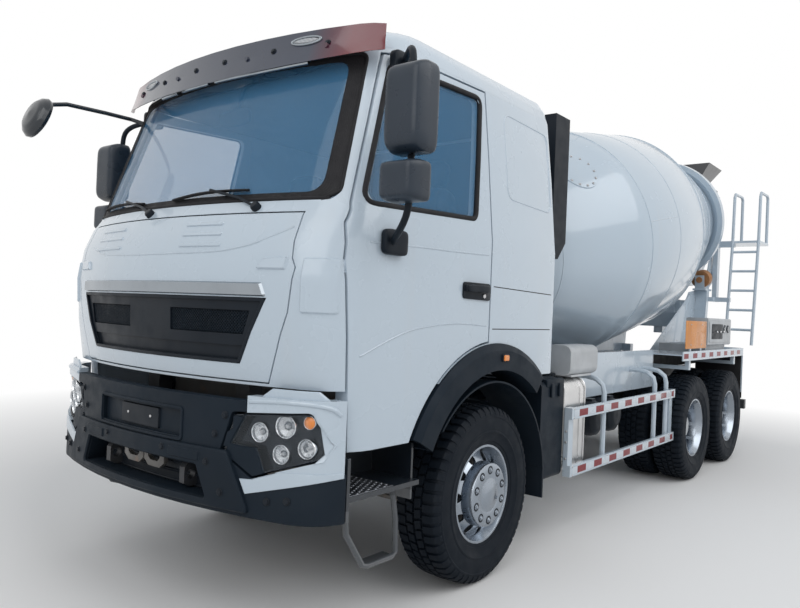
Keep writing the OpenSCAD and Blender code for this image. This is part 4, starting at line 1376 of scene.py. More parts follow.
@dataclass
class Wheels:
    """Tyres, wheel nuts, hub covers and brake drums of all axles."""

    front_y: float = 1.02
    drive_y: float = 1.1
    twin: float = 0.346
    drive_x: Pair = (-4.025, -5.375)
    nuts: int = 10
    front_circle: float = 0.151
    front_face: float = 0.171
    drive_circle: float = 0.1675
    drive_face: float = -0.144
    hub_circle: float = 0.121
    hub_face: float = 0.01
    hub_bolts: int = 12

    def build(self) -> None:
        """Dresses every wheel."""
        for side in Side:
            body = f"wheel_front_{side}"
            tyre = Shape()
            Tyre().build(tyre, 0.0, self.front_y)
            tyre.on(side).make(f"front_tyre_tread_{side}", TYRE, body, [f"front_tyre_{side}"])
            self.front_hub(side, body)
            self.brake(side, body, "front", 0.0, self.front_y - 0.004)
            for i, x in enumerate(self.drive_x, 1):
                body = f"wheel_drive_{i}_{side}"
                replaced = f"drive_tyres_{i}_{side}"
                twins = Shape()
                for y in (self.drive_y, self.drive_y - self.twin):
                    Tyre().build(twins, x, y)
                twins.on(side).make(f"drive_tyre_tread_{i}_{side}", TYRE, body, [replaced])
                self.drive_hub(side, body, i, x)
                self.brake(side, body, f"drive_{i}", x, self.drive_y - 0.255)

    @staticmethod
    def on_circle(x: float, y: float, circle: float, count: int) -> list[Triple]:
        """Points spread on a circle about an axle."""
        return [(x + circle * math.cos(a), y, Tyre.radius + circle * math.sin(a)) for a in turns(count, 0.5)]

    @staticmethod
    def nut_ring(shape: Shape, spots: Sequence[Triple], radius: float, height: float) -> None:
        """Adds nuts with their stud ends.

        Args:
            shape: Shape that takes the faces.
            spots: Where the nuts stand.
            radius: Radius of a nut.
            height: Height of a nut.
        """
        stud = [(0, height), (radius * 0.55, height), (radius * 0.5, height * 1.35), (0, height * 1.4)]
        for spot in spots:
            shape.bolt(spot, LEFT, radius, height)
            shape.lathe(stud, spot, LEFT, 10)

    def front_hub(self, side: Side, body: str) -> None:
        """Raised cover of a steered wheel with its nuts in wells.

        Args:
            side: Side of the truck.
            body: Wheel body that carries it.
        """
        cover, nuts, wells = shapes(3)
        outside = [(0, 0.1765), (0.062, 0.176), (0.067, 0.173), (0.098, 0.172), (0.102, 0.1705),
                   (0.106, 0.172), (0.18, 0.171), (0.189, 0.167), (0.193, 0.158), (0.193, 0.13),
                   (0.196, 0.1)]
        inside = [(0.196, 0.0955), (0.19, 0.0955), (0.187, 0.15), (0.178, 0.164), (0, 0.1665)]
        cover.lathe(outside + inside, (0, self.front_y, Tyre.radius), LEFT, 96)
        spots = self.on_circle(0.0, self.front_y + self.front_face, self.front_circle, self.nuts)
        self.nut_ring(nuts, spots, 0.0115, 0.009)
        well = [(0.009, -0.001), (0.0265, -0.001), (0.0255, 0.0018), (0.009, 0.0012)]
        for spot in spots:
            wells.lathe(well, spot, LEFT, 24, loop=True)
        cover.on(side).make(f"front_hub_cover_{side}", RIM, body)
        nuts.on(side).make(f"front_wheel_nuts_{side}", RIM, body)
        wells.on(side).make(f"front_nut_wells_{side}", BLACK, body)

    def brake(self, side: Side, body: str, name: str, x: float, y: float) -> None:
        """Brake drum that shows through the hand holes.

        Args:
            side: Side of the truck.
            body: Wheel body that carries it.
            name: Word for the axle.
            x: Axle's x.
            y: Outer end of the drum.
        """
        drum = Shape()
        ring = [(0.15, 0.0), (0.214, 0.0), (0.222, -0.006), (0.222, -0.05), (0.216, -0.056),
                (0.216, -0.085), (0.206, -0.085), (0.206, -0.012), (0.15, -0.012)]
        drum.lathe(ring, (x, y, Tyre.radius), LEFT, 64, loop=True)
        drum.on(side).make(f"brake_drum_{name}_{side}", BRAKE, body)

    def drive_hub(self, side: Side, body: str, number: int, x: float) -> None:
        """Nuts, hub bolts and cap of a twin wheel.

        Args:
            side: Side of the truck.
            body: Wheel body that carries them.
            number: Number of the drive axle.
            x: Axle's x.
        """
        nuts, cap = shapes(2)
        y = self.drive_y
        spots = self.on_circle(x, y + self.drive_face, self.drive_circle, self.nuts)
        self.nut_ring(nuts, spots, 0.0175, 0.028)
        spots = self.on_circle(x, y + self.hub_face, self.hub_circle, self.hub_bolts)
        self.nut_ring(nuts, spots, 0.01, 0.01)
        nuts.on(side).make(f"drive_wheel_nuts_{number}_{side}", STEEL, body)
        outside = [(0, 0.052), (0.03, 0.0515), (0.06, 0.049), (0.088, 0.044), (0.1, 0.036)]
        inside = [(0.104, 0.0105), (0.1015, 0.0105), (0.1015, 0.0402), (0, 0.0402)]
        cap.lathe(outside + inside, (x, y, Tyre.radius), LEFT, 60)
        cap.on(side).make(f"drive_hub_cap_{number}_{side}", GREY, body)


@dataclass
class CabFront:
    """Front panel trim, grille inserts, windscreen border, wipers and sun visor fittings."""

    screen_low: float = 2.15
    screen_high: float = 2.955
    screen_half_low: float = 1.085
    screen_half_high: float = 1.0
    border_bands: int = 8
    mesh_pitch: float = 0.017
    mesh_start: float = 0.192
    mesh_end: float = 0.73
    mesh_levels: Pair = (1.49, 1.602)
    bend: float = 3.5
    nose_levels: Line = ((1.25, 1.575), (1.5, 1.613), (1.76, 1.625))
    rib_runs: Line = ((0.225, 0.5), (-0.72, -0.38))
    rib_rows: Line = ((2.036, 0.0), (1.982, 0.015), (1.925, 0.03))
    rib_half: float = 0.013
    ledge: Line = ((0.765, 1.8), (0.936, 1.8), (0.946, 1.87), (0.8, 1.862))
    scoop: Line = ((1.01, 1.6), (1.165, 1.6), (1.17, 1.865), (1.015, 1.865))
    crease: Line = (
        (-0.8, 1.94), (-0.6, 1.898), (-0.25, 1.883), (0.1, 1.883), (0.4, 1.888), (0.564, 1.898),
        (0.713, 1.925), (0.8, 1.955), (0.925, 2.01))
    wiper_spots: tuple[Line, ...] = (
        ((0.655, 2.118), (0.53, 2.172), (0.3, 2.226), (-0.01, 2.19), (0.56, 2.214)),
        ((-0.185, 2.118), (-0.31, 2.168), (-0.56, 2.222), (-0.96, 2.205), (-0.33, 2.192)))
    visor_bolts: tuple[float, ...] = (-0.84, -0.5, -0.132, 0.132, 0.503, 0.84)
    visor_strips: Line = ((-0.52, -0.3), (-0.24, 0.02), (0.08, 0.8))
    marker_y: float = 0.71
    marker_z: float = 3.012

    def build(self) -> None:
        """Adds the trim of the cab's front."""
        self.panel_trim()
        self.grille()
        self.screen()
        self.wipers()
        self.visor()

    def panel_trim(self) -> None:
        """Bright bar, louvre ribs, ledges and crease of the front panel, and scoops on the cab's corners."""
        skin = Skin("front_panel")
        bar, trim, corner = shapes(3)
        ring = even_outline(trapezium(0.838, 1.672, 0.812, 1.742), 0.01, 30, 3)
        bar.patch(ring, skin.front, FORWARD, 0.014, chamfer=0.008, step=0.05)
        bar.make("grille_bar", CHROME, "front_panel")
        for start, end in self.rib_runs:
            for z, grow in self.rib_rows:
                corners = rectangle((start, z - self.rib_half), (end + grow, z + self.rib_half))
                ring = even_outline(corners, 0.012, 8, 4)
                trim.patch(ring, skin.front, FORWARD, 0.007, chamfer=0.007, step=0.05)
        ledge = even_outline(self.ledge, 0.012, 6, 3)
        for ring in (ledge, [(-u, v) for u, v in ledge]):
            trim.patch(ring, skin.front, FORWARD, 0.012, chamfer=0.011, step=0.04)
        trim.tube(skin.front_line(eased(self.crease, 40), -0.003), 0.007, 8)
        trim.make("front_panel_ribs", WHITE, "front_panel")
        slant = (FORWARD + LEFT * 0.45).normalized()
        scoop = even_outline(self.scoop, 0.02, 10, 4)
        corner.patch(scoop, Skin("cab_shell").front, slant, 0.01, chamfer=0.01, step=0.03)
        corner.mirrored().make("corner_scoops", WHITE)

    def grille(self) -> None:
        """Rim of the grille opening and a diamond mesh in its pockets."""
        rim, mesh = shapes(2)
        outer = even_outline(trapezium(0.672, 1.345, 0.838, 1.668), 0.02, 24, 4)
        rim.band(outer, inset(outer, 0.018), self.nose, FORWARD, 0.003, sink=0.03)
        rim.make("grille_rim", BLACK, "front_panel")
        floor = Skin("grille")
        low, high = self.mesh_levels
        count = int((self.mesh_end - self.mesh_start + high - low) / self.mesh_pitch)
        for lean in (1, -1):
            for k in range(count):
                foot = self.mesh_start - (high - low if lean > 0 else 0.0) + self.mesh_pitch * (k + 0.5)
                bar = self.clipped(foot, lean)
                if bar:
                    mesh.tube(floor.front_line(bar, 0.004), 0.0022, 4)
        mesh.mirrored().make("grille_mesh", CHARCOAL, "front_panel")

    def clipped(self, foot: float, lean: int) -> list[Pair]:
        """Part of a slanted mesh bar that lies in the left pocket.

        Args:
            foot: The bar's y at the lower level.
            lean: 1 where it rises to the left, -1 where it rises to the right.

        Returns:
            Points along the bar, none where it misses the pocket.
        """
        low, high = self.mesh_levels
        inside = []
        for t in spread(0.0, 1.0, 12):
            y, z = foot + lean * (high - low) * t, low + (high - low) * t
            if self.mesh_start <= y <= self.mesh_end - 0.036 * (1 - t):
                inside.append((y, z))
        return inside if len(inside) > 1 else []

    def nose(self, y: float, z: float) -> Vector:
        """Point of the cab's smooth skin under the belt line.

        Args:
            y: Distance from the middle.
            z: Height.

        Returns:
            The point.
        """
        (z0, x0), (z1, x1) = self.nose_levels[:2] if z < self.nose_levels[1][0] else self.nose_levels[1:]
        x = x0 + (x1 - x0) * (z - z0) / (z1 - z0) - self.bend + math.sqrt(self.bend ** 2 - y * y)
        return Vector((x, y, z))

    def screen(self) -> None:
        """Black border and rubber seal of the windscreen."""
        glass = Skin("windscreen")
        border, seal = shapes(2)
        corners = trapezium(self.screen_half_low, self.screen_low, self.screen_half_high, self.screen_high)
        outer = even_outline(corners, 0.06, 40, 6)
        edge = inset(outer, 0.012)
        inside = even_outline(trapezium(0.985, 2.192, 0.918, 2.905), 0.085, 40, 6)
        steps = spread(0.0, 1.0, self.border_bands)
        rings = [[blend(a, b, t) for a, b in zip(edge, inside)] for t in steps]
        for a, b in zip(rings, rings[1:]):
            border.band(a, b, glass.front, FORWARD * 0.8 + UP * 0.6, 0.0022, 0.001, 0.0003)
        border.make("windscreen_border", RUBBER)
        seal.tube(glass.front_line(inset(outer, 0.008), 0.004), 0.01, 8, True)
        seal.make("windscreen_seal", RUBBER)

    def wipers(self) -> None:
        """Two wiper arms with blades resting on the glass."""
        glass = Skin("windscreen", "cab_shell", "front_panel")
        arms, blades = shapes(2)
        hub = [(0, -0.02), (0.026, -0.02), (0.026, 0.012), (0.02, 0.022), (0, 0.024)]
        for pivot, elbow, tip, start, end in self.wiper_spots:
            spots = [glass.front(*p) + FORWARD * h for p, h in ((pivot, 0.012), (elbow, 0.03), (tip, 0.03))]
            arms.tube(spots, 0.0075, 8)
            arms.lathe(hub, spots[0] - FORWARD * 0.004, (0.8, 0, 0.6), 20)
            for foot, bow, radius in ((0.012, 0.0, 0.0075), (0.02, 0.012, 0.006)):
                path = []
                for t in spread(0.0, 1.0, 12):
                    arch = math.sin(math.pi * t)
                    y, z = blend(start, end, t)
                    path.append(glass.front(y, z + 0.012 * arch) + FORWARD * (foot + bow * arch))
                blades.tube(path, radius, 6)
        arms.make("wiper_arms", BLACK)
        blades.make("wiper_blades", RUBBER)

    def visor(self) -> None:
        """Marker lamps, bolts and bright strips of the sun visor."""
        shade = Skin("sun_visor")
        bolts, frames, lenses, strip = shapes(4)
        out = Vector((0.93, 0, 0.36))
        for y in self.visor_bolts:
            bolts.bolt(shade.front(y, 2.985), out, 0.013, 0.01)
        for y in (-self.marker_y, self.marker_y):
            ring = [(y + 0.095 * math.cos(a), self.marker_z + 0.026 * math.sin(a)) for a in turns(28)]
            inner = inset(ring, 0.009)
            frames.band(ring, inner, shade.front, out, 0.01, sink=0.003)
            lenses.patch(inner, shade.front, out, 0.008, sink=0.002, chamfer=0.006, step=0.03)
        bolts.make("visor_bolts", BLACK)
        frames.make("marker_lamp_frames", CHROME)
        lenses.make("marker_lamp_lenses", LENS)
        for start, end in self.visor_strips:
            strip.tube([shade.front(y, 2.878) - FORWARD * 0.02 for y in spread(start, end, 10)], 0.011, 8)
        strip.make("visor_strip", CHROME)


@dataclass
class Doors:
    """Window seals, quarter panel trim, door creases, handles and mirrors."""

    window: Line = ((1.205, 2.152), (0.268, 2.19), (0.158, 2.915), (0.962, 2.88))
    creases: tuple[Line, ...] = (
        ((0.13, 1.985), (0.45, 1.975), (0.8, 1.968), (1.2, 1.955)),
        ((0.13, 1.565), (0.45, 1.575), (0.8, 1.545), (1.02, 1.49), (1.24, 1.41)))
    main_centre: Triple = (1.235, 1.45, 2.545)
    main_half: Triple = (0.08, 0.11, 0.205)
    low_centre: Triple = (1.25, 1.44, 2.215)
    low_half: Triple = (0.076, 0.105, 0.092)
    set_back: float = 0.215
    # Corners of the mirror arm: x, share of the set-back, y and z.
    arm: tuple[tuple[float, float, float, float], ...] = (
        (0.905, 0.0, 1.114, 2.915), (0.96, 0.2, 1.175, 2.905), (1.1, 0.6, 1.31, 2.885),
        (1.18, 0.9, 1.39, 2.85), (1.205, 1.0, 1.42, 2.78), (1.208, 1.0, 1.43, 2.3),
        (1.208, 1.0, 1.43, 2.12), (1.19, 0.9, 1.39, 2.04), (1.08, 0.2, 1.235, 1.965))
    arm_feet: tuple[Triple, ...] = ((0.93, 1.12, 2.905), (1.042, 1.21, 1.975))
    clamp_levels: Triple = (2.6, 2.49, 2.22)
    handle_shell: Line = ((0.108, 1.712), (0.398, 1.718), (0.398, 1.812), (0.108, 1.812))
    quarter_panel: Line = ((-0.12, 2.36), (-0.12, 2.9), (-0.7, 2.88), (-0.7, 2.34))

    def build(self) -> None:
        """Dresses both doors and the cab's sides."""
        skin = Skin("door_left")
        for side in Side:
            body = f"door_{side}"
            seal = Shape()
            ring = even_outline(self.window, 0.045, 16, 6)
            seal.tube([self.door_spot(skin, x, z) for x, z in inset(ring, -0.01)], 0.016, 10, True)
            seal.on(side).make(f"window_seal_{side}", RUBBER, body)
            self.crease(skin, side, body)
            self.mirrors(side, body)
            self.handle(side, body)
        self.quarter()

    @staticmethod
    def door_spot(skin: Skin, x: float, z: float) -> Vector:
        """Point a little inside the door's skin."""
        return Vector((x, max(skin.left(x, z).y, 1.08), z)) - LEFT * 0.008

    def crease(self, skin: Skin, side: Side, body: str) -> None:
        """Pressed lines along a door.

        Args:
            skin: Face of the door.
            side: Side of the truck.
            body: Door body that carries them.
        """
        lines = Shape()
        for points in self.creases:
            lines.tube(skin.left_line(eased(points, 24), -0.0035), 0.007, 8)
        lines.on(side).make(f"door_creases_{side}", WHITE, body)

    def mirrors(self, side: Side, body: str) -> None:
        """Rounded mirror housings with glass, and their tubes and feet.

        Args:
            side: Side of the truck.
            body: Door body that carries them.
        """
        housing, glass, tubes = shapes(3)
        back = 0.0 if side is Side.LEFT else self.set_back
        for (x, y, z), half in ((self.main_centre, self.main_half), (self.low_centre, self.low_half)):
            middle = x + 0.018 - back
            housing.crowned((middle, y, z), half, 9.0, 14, None, self.bulged)
            width, height = half[1] * 0.86, half[2] * 0.9
            ring = even_outline(rectangle((y - width, z - height), (y + width, z + height)), 0.03, 8, 5)
            glass.patch(ring, plane_at(middle - half[0] * 0.97), -FORWARD, 0.004, chamfer=0.002, step=0.05)
        housing.on(side).make(f"mirror_housings_{side}", CASE, body, [f"mirrors_{side}"])
        glass.on(side).make(f"mirror_glasses_{side}", MIRROR, body)
        tubes.tube(self.curved([(x - back * share, y, z) for x, share, y, z in self.arm], 6), 0.017, 12)
        for foot in self.arm_feet:
            tubes.crowned(foot, (0.07, 0.028, 0.055), 5.0, 6)
        tubes.crowned((1.0425, 1.221, 1.967), (0.088, 0.021, 0.063), 6.0, 8)
        for z in self.clamp_levels:
            tubes.crowned((1.222 - back, 1.437, z), (0.034, 0.034, 0.022), 4.0, 6)
        tubes.on(side).make(f"mirror_tubes_{side}", BLACK, body)

    @staticmethod
    def bulged(spot: Vector) -> Vector:
        """Housing that narrows to the front and is flat at the glass."""
        taper = 1.0 - 0.16 * max(0.0, spot.x) ** 1.5
        return Vector((spot.x, spot.y * taper, spot.z * taper))

    @staticmethod
    def curved(path: Sequence[Triple], cuts: int) -> list[Vector]:
        """Bends a path's corners round.

        Args:
            path: Corner points.
            cuts: Pieces of each bend.

        Returns:
            Points along the rounded path.
        """
        points = [Vector(p) for p in path]
        result = [points[0]]
        for a, b, c in zip(points, points[1:], points[2:]):
            result += bent(b.lerp(a, 0.45), b, b.lerp(c, 0.45), cuts)
        return result + [points[-1]]

    def handle(self, side: Side, body: str) -> None:
        """Door handle in its shell, with a lock.

        Args:
            side: Side of the truck.
            body: Door body that carries it.
        """
        shell, lock = shapes(2)
        shell.prism(even_outline(self.handle_shell, 0.022, 4, 5), from_side, 1.2, 1.209, 0.004)
        shell.crowned((0.268, 1.224, 1.778), (0.118, 0.016, 0.021), 5.0, 8)
        for x in (0.165, 0.372):
            shell.crowned((x, 1.214, 1.778), (0.02, 0.013, 0.019), 5.0, 6)
        shell.on(side).make(f"door_handle_{side}", BLACK, body)
        barrel = [(0, 0.0), (0.014, 0.0), (0.014, 0.006), (0.011, 0.009), (0, 0.009)]
        lock.lathe(barrel, (0.18, 1.207, 1.738), LEFT, 20)
        lock.on(side).make(f"door_lock_{side}", STEEL, body)

    def quarter(self) -> None:
        """Pressed panel and joints behind the doors."""
        skin = Skin("cab_shell")
        press, joints = shapes(2)
        outer = even_outline(self.quarter_panel, 0.07, 10, 6)
        press.tube(skin.left_line(outer, -0.003), 0.007, 8, True)
        press.mirrored().make("quarter_panel_press", WHITE)
        for z, drop in ((1.8, 0.02), (1.545, 0.0)):
            path = [(0.06 - 0.82 * t, z - drop * t) for t in spread(0.0, 1.0, 12)]
            joints.tube(skin.left_line(path, -0.003), 0.0045, 6)
        joints.mirrored().make("quarter_panel_joints", RUBBER)


@dataclass
class Bumper:
    """Raised bumper frame, bolts, plate holder, tow hooks and a dark plate of painted shade behind the lower
    opening.
    """

    front: float = 1.655
    half: float = 1.204
    bend: float = 3.5
    corner: float = 0.26
    pads: Pair = (-0.42, 0.42)
    # Bolts: y, z and height of the frame under the head.
    bolt_spots: tuple[Triple, ...] = (
        (0.663, 1.101, 0.0), (0.606, 1.005, 0.0), (0.574, 0.868, 0.018), (0.668, 0.735, 0.018),
        (0.261, 0.9, 0.018), (0.917, 0.725, 0.0), (1.02, 0.74, 0.0))
    hooks: Pair = (-0.075, 0.115)
    hook: Line = (
        (-0.09, 0.84), (-0.09, 0.795), (-0.05, 0.765), (0.05, 0.765), (0.09, 0.795), (0.09, 0.84),
        (0.055, 0.84), (0.055, 0.812), (0.03, 0.795), (-0.03, 0.795), (-0.055, 0.812), (-0.055, 0.84))
    plate_depth: float = 0.0245
    # Depth of the dark plate of painted shade behind the bumper's face.
    backing_depth: float = 0.118

    def build(self) -> None:
        """Dresses the bumper."""
        self.raised()
        self.bolts()
        self.plate()
        self.tow_hooks()
        self.backing()

    def raised(self) -> None:
        """Frame round the lower opening, rim of the plate's pocket and two pads."""
        raised, face = Shape(), self.behind(0.0)
        outer = even_outline(trapezium(0.83, 0.655, 0.69, 0.935), 0.02, 26, 4)
        inner = even_outline(trapezium(0.575, 0.69, 0.503, 0.845), 0.012, 26, 4)
        raised.band(outer, inner, face, FORWARD, 0.02, chamfer=0.008)
        pocket = even_outline(trapezium(0.372, 0.955, 0.372, 1.096), 0.01, 24, 4)
        raised.band(inset(pocket, -0.016), pocket, face, FORWARD, 0.006)
        for y in self.pads:
            ring = even_outline(rectangle((y - 0.11, 0.862), (y + 0.11, 0.915)), 0.01, 6, 3)
            raised.patch(ring, face, FORWARD, 0.026, sink=-0.016, chamfer=0.006, step=0.05)
        raised.make("bumper_frame", CHARCOAL)

    def bolts(self) -> None:
        """Bolt heads on the bumper's face."""
        bolts, face = Shape(), self.behind(0.0)
        for y, z, lift in self.bolt_spots:
            bolts.bolt(face(y, z) + FORWARD * lift, (1.0, y * 0.3, 0), 0.014, 0.01)
        bolts.mirrored().make("bumper_bolts", BLACK)

    def plate(self) -> None:
        """Bare plate holder with its two screws."""
        plate, screws, deep = Shape(), Shape(), self.behind(self.plate_depth)
        ring = even_outline(rectangle((-0.17, 0.972), (0.18, 1.082)), 0.008, 8, 3)
        plate.patch(ring, deep, FORWARD, 0.01, step=0.05)
        plate.make("plate_holder", BLACK)
        for y in (-0.1, 0.11):
            head = [(0, 0), (0.008, 0), (0.007, 0.003), (0, 0.004)]
            screws.lathe(head, deep(y, 1.03) + FORWARD * 0.01, FORWARD, 14)
        screws.make("plate_screws", STEEL)

    def tow_hooks(self) -> None:
        """Two forged hooks in the lower opening."""
        tow = Shape()
        for y in self.hooks:
            tow.prism([(y + u, v) for u, v in self.hook], from_front, 1.585, 1.612)
        tow.make("tow_hooks", CAST)

    def backing(self) -> None:
        """Dark plate with three bars behind the lower opening, painted shade where the opening is dark
        inside.
        """
        # Painted shade: a dark sheet that hides the floor behind the opening.
        plate, deep = Shape(), self.behind(self.backing_depth)
        ring = even_outline(trapezium(0.64, 0.65, 0.56, 0.862), 0.02, 20, 4)
        plate.patch(ring, deep, FORWARD, 0.004, chamfer=0.003)
        for z in (0.7, 0.75, 0.8):
            plate.tube([deep(y, z) + FORWARD * 0.004 for y in spread(-0.56, 0.56, 20)], 0.008, 8)
        plate.make("bumper_backing", BLACK)

    @property
    def bow(self) -> float:
        """Angle at which the bowed face passes into the corner."""
        return math.asin((self.half - self.corner) / (self.bend - self.corner))

    @property
    def corner_x(self) -> float:
        """Middle of the corner's arc."""
        return self.front - self.bend + (self.bend - self.corner) * math.cos(self.bow)

    def nose(self, y: float) -> float:
        """Foremost x of the bumper at a distance from the middle.

        Args:
            y: Distance from the middle.

        Returns:
            The x of its face.
        """
        y = abs(y)
        if y <= self.bend * math.sin(self.bow):
            return self.front - self.bend + math.sqrt(self.bend * self.bend - y * y)
        return self.corner_x + math.sqrt(max(0.0, self.corner ** 2 - (y - self.half + self.corner) ** 2))

    def along(self, s: float) -> Vector:
        """Point of the bumper's plan at a way along its face.

        Args:
            s: Way from the middle, equal to y as far as the corner.

        Returns:
            The point, at height 0.
        """
        turn = self.bend * math.sin(self.bow)
        if s <= turn:
            return Vector((self.nose(s), s, 0.0))
        a = self.bow + (s - turn) / self.corner
        y = self.half - self.corner + self.corner * math.sin(a)
        return Vector((self.corner_x + self.corner * math.cos(a), y, 0.0))

    def behind(self, depth: float) -> Place:
        """Surface that runs behind the bumper's face.

        Args:
            depth: How far behind it.

        Returns:
            A function that gives the surface's point at y and z.
        """
        def place(y: float, z: float) -> Vector:
            """Point of the surface."""
            return Vector((self.nose(y) - depth, y, z))

        return place


@dataclass
class Headlamps:
    """Headlamp bowls, lenses and clear covers, and the trim round them."""

    outline: Line = (
        (0.705, 1.118), (1.11, 1.15), (1.178, 1.0), (1.15, 0.93), (0.83, 0.822), (0.64, 0.925))
    units: tuple[Triple, ...] = ((0.838, 1.036, 0.048), (0.973, 1.076, 0.056), (0.955, 0.945, 0.046),
                                 (1.075, 0.982, 0.047))
    blinker: Triple = (1.083, 1.103, 0.032)
    depth: float = 0.05
    wing_outline: Line = (
        (0.646, 0.925), (0.832, 0.828), (0.89, 0.848), (0.843, 0.964), (0.695, 0.968), (0.785, 1.124),
        (0.703, 1.118))
    band_ends: Pair = (0.796, 1.293)
    band_top: Line = (
        (1.293, 0.876), (1.1, 0.876), (0.985, 0.872), (0.951, 0.86), (0.832, 0.819), (0.76, 0.812))
    outer_edge: Line = (
        (1.112, 1.155), (1.132, 1.08), (1.146, 0.96), (1.12, 0.915), (1.154, 0.926), (1.184, 1.0),
        (1.15, 1.08))
    lip_line: Line = (
        (0.8, 1.178), (0.9, 1.186), (1.0, 1.19), (1.1, 1.188), (1.165, 1.172), (1.186, 1.14))
    bridge_outline: Line = ((0.83, 1.195), (1.165, 1.195), (1.12, 1.246), (0.9, 1.246))

    def build(self) -> None:
        """Adds both headlamps in place of the plain solids."""
        skin = Skin("lamps")
        ring = inset(even_outline(self.outline, 0.025, 12, 5), 0.006)
        bowl, rims, glasses, bulbs, cover, blink = shapes(6)
        bowl.patch(ring, skin.front, FORWARD, -self.depth + 0.006, sink=self.depth + 0.012, step=0.05)
        bowl.band(ring, inset(ring, 0.012), skin.front, FORWARD, -0.006, sink=self.depth)
        for unit in self.units:
            self.unit(rims, glasses, bulbs, skin, unit)
        self.unit(rims, blink, bulbs, skin, self.blinker)
        cover.patch(inset(ring, 0.004), skin.front, FORWARD, 0.0, sink=0.003, chamfer=0.003, step=0.05)
        bowl.mirrored().make("headlamp_bowls", BEZEL, replaces=["lamps"])
        rims.mirrored().make("headlamp_rings", LAMP_CHROME)
        glasses.mirrored().make("headlamp_lenses", GLOBE)
        bulbs.mirrored().make("headlamp_bulbs", STEEL)
        blink.mirrored().make("indicator_lenses", AMBER)
        cover.mirrored().make("headlamp_covers", CLEAR)
        self.wing()
        self.lip()

    def wing(self) -> None:
        """Black wing over the lamp's lower corner and the white band under and beside the lamp."""
        skin, bumper = Skin("lamps", "lamp_surrounds", "bumper"), Bumper()
        wing, band = shapes(2)
        ring = even_outline(self.wing_outline, 0.006, 8, 3)
        wing.patch(ring, skin.front, FORWARD, 0.006, sink=0.006, chamfer=0.003, step=0.03)
        wing.mirrored().make("lamp_wings", CHARCOAL)
        low = [(s, 0.735 + (bumper.along(s).y - 0.77) * 0.2585) for s in spread(*self.band_ends, 12)]

        def face(s: float, z: float) -> Vector:
            """Point on the bumper's face at a way along it."""
            return bumper.along(s) + UP * z

        slant = (FORWARD + LEFT * 0.7).normalized()
        band.patch([*low, *self.band_top], face, slant, 0.005, chamfer=0.003, step=0.025)
        band.patch(self.outer_edge, skin.front, slant, 0.004, sink=0.006, chamfer=0.002, step=0.03)
        band.mirrored().make("surround_bands", WHITE)

    def lip(self) -> None:
        """Rounded lip over the lamp and the piece that joins the surround to the cab."""
        skin = Skin("lamp_surrounds")
        lip, bridge = shapes(2)
        lip.tube(skin.front_line(eased(self.lip_line, 24), -0.004), 0.012, 10)
        lip.mirrored().make("surround_lips", WHITE)
        ring = even_outline(self.bridge_outline, 0.012, 8, 3)
        bridge.patch(ring, Bumper().behind(0.022), FORWARD, 0.0, sink=0.01, step=0.05)
        bridge.mirrored().make("surround_bridges", WHITE)

    @staticmethod
    def unit(rims: Shape, glasses: Shape, bulbs: Shape, skin: Skin, unit: Triple) -> None:
        """Adds one round lamp: bright bowl and ring, domed lens and bulb.

        Args:
            rims: Shape for the bright bowl and ring.
            glasses: Shape for the lens.
            bulbs: Shape for the bulb.
            skin: Face of the headlamp.
            unit: Middle of the lamp, its height and the radius of its ring.
        """
        y, z, r = unit
        out = (FORWARD + LEFT * 0.25).normalized()
        back = skin.front(y, z) - FORWARD * 0.046
        bowl = [(0.004, 0.0), (r * 0.55, 0.003), (r * 0.84, 0.016), (r * 0.88, 0.028), (r * 0.95, 0.033),
                (r, 0.029), (r * 1.02, 0.0), (r * 0.9, -0.004), (0.004, -0.004)]
        dome = [(0, 0.036), (r * 0.3, 0.0352), (r * 0.6, 0.0325), (r * 0.84, 0.027), (r * 0.84, 0.022),
                (0, 0.026)]
        bulb = [(0, 0.022), (r * 0.16, 0.02), (r * 0.2, 0.012), (r * 0.2, 0.0), (0, 0.0)]
        rims.lathe(bowl, back, out, 40, loop=True)
        glasses.lathe(dome, back, out, 40)
        bulbs.lathe(bulb, back, out, 16)


@dataclass
class ArchesAndSteps:
    """Marker lamps on the arches and tread plates on the entry steps."""

    lamp_x: float = -0.045
    lamp_z: float = 1.372
    tread_low: Triple = (0.94, 0.9, 0.7495)
    tread_high: Triple = (1.265, 1.19, 0.755)
    stud_pitch: float = 0.034

    def build(self) -> None:
        """Adds the details round the front wheels."""
        rims, lamps, plate = shapes(3)
        rims.crowned((self.lamp_x, 1.236, self.lamp_z), (0.036, 0.01, 0.024), 6.0, 6)
        lamps.crowned((self.lamp_x, 1.243, self.lamp_z), (0.029, 0.01, 0.018), 6.0, 6)
        rims.mirrored().make("arch_lamp_frames", BLACK)
        lamps.mirrored().make("arch_lamps", AMBER)
        plate.box(self.tread_low, self.tread_high, 0.0015)
        stud = [(0, -0.001), (0.01, -0.001), (0.009, 0.003), (0.006, 0.005), (0, 0.0052)]
        pitch = self.stud_pitch
        for i in range(9):
            for j in range(8):
                y = 0.925 + pitch * j + (pitch / 2 if i % 2 else 0.0)
                plate.lathe(stud, (0.965 + pitch * i, y, self.tread_high[2]), UP, 8)
        plate.mirrored().make("step_treads", STEP)


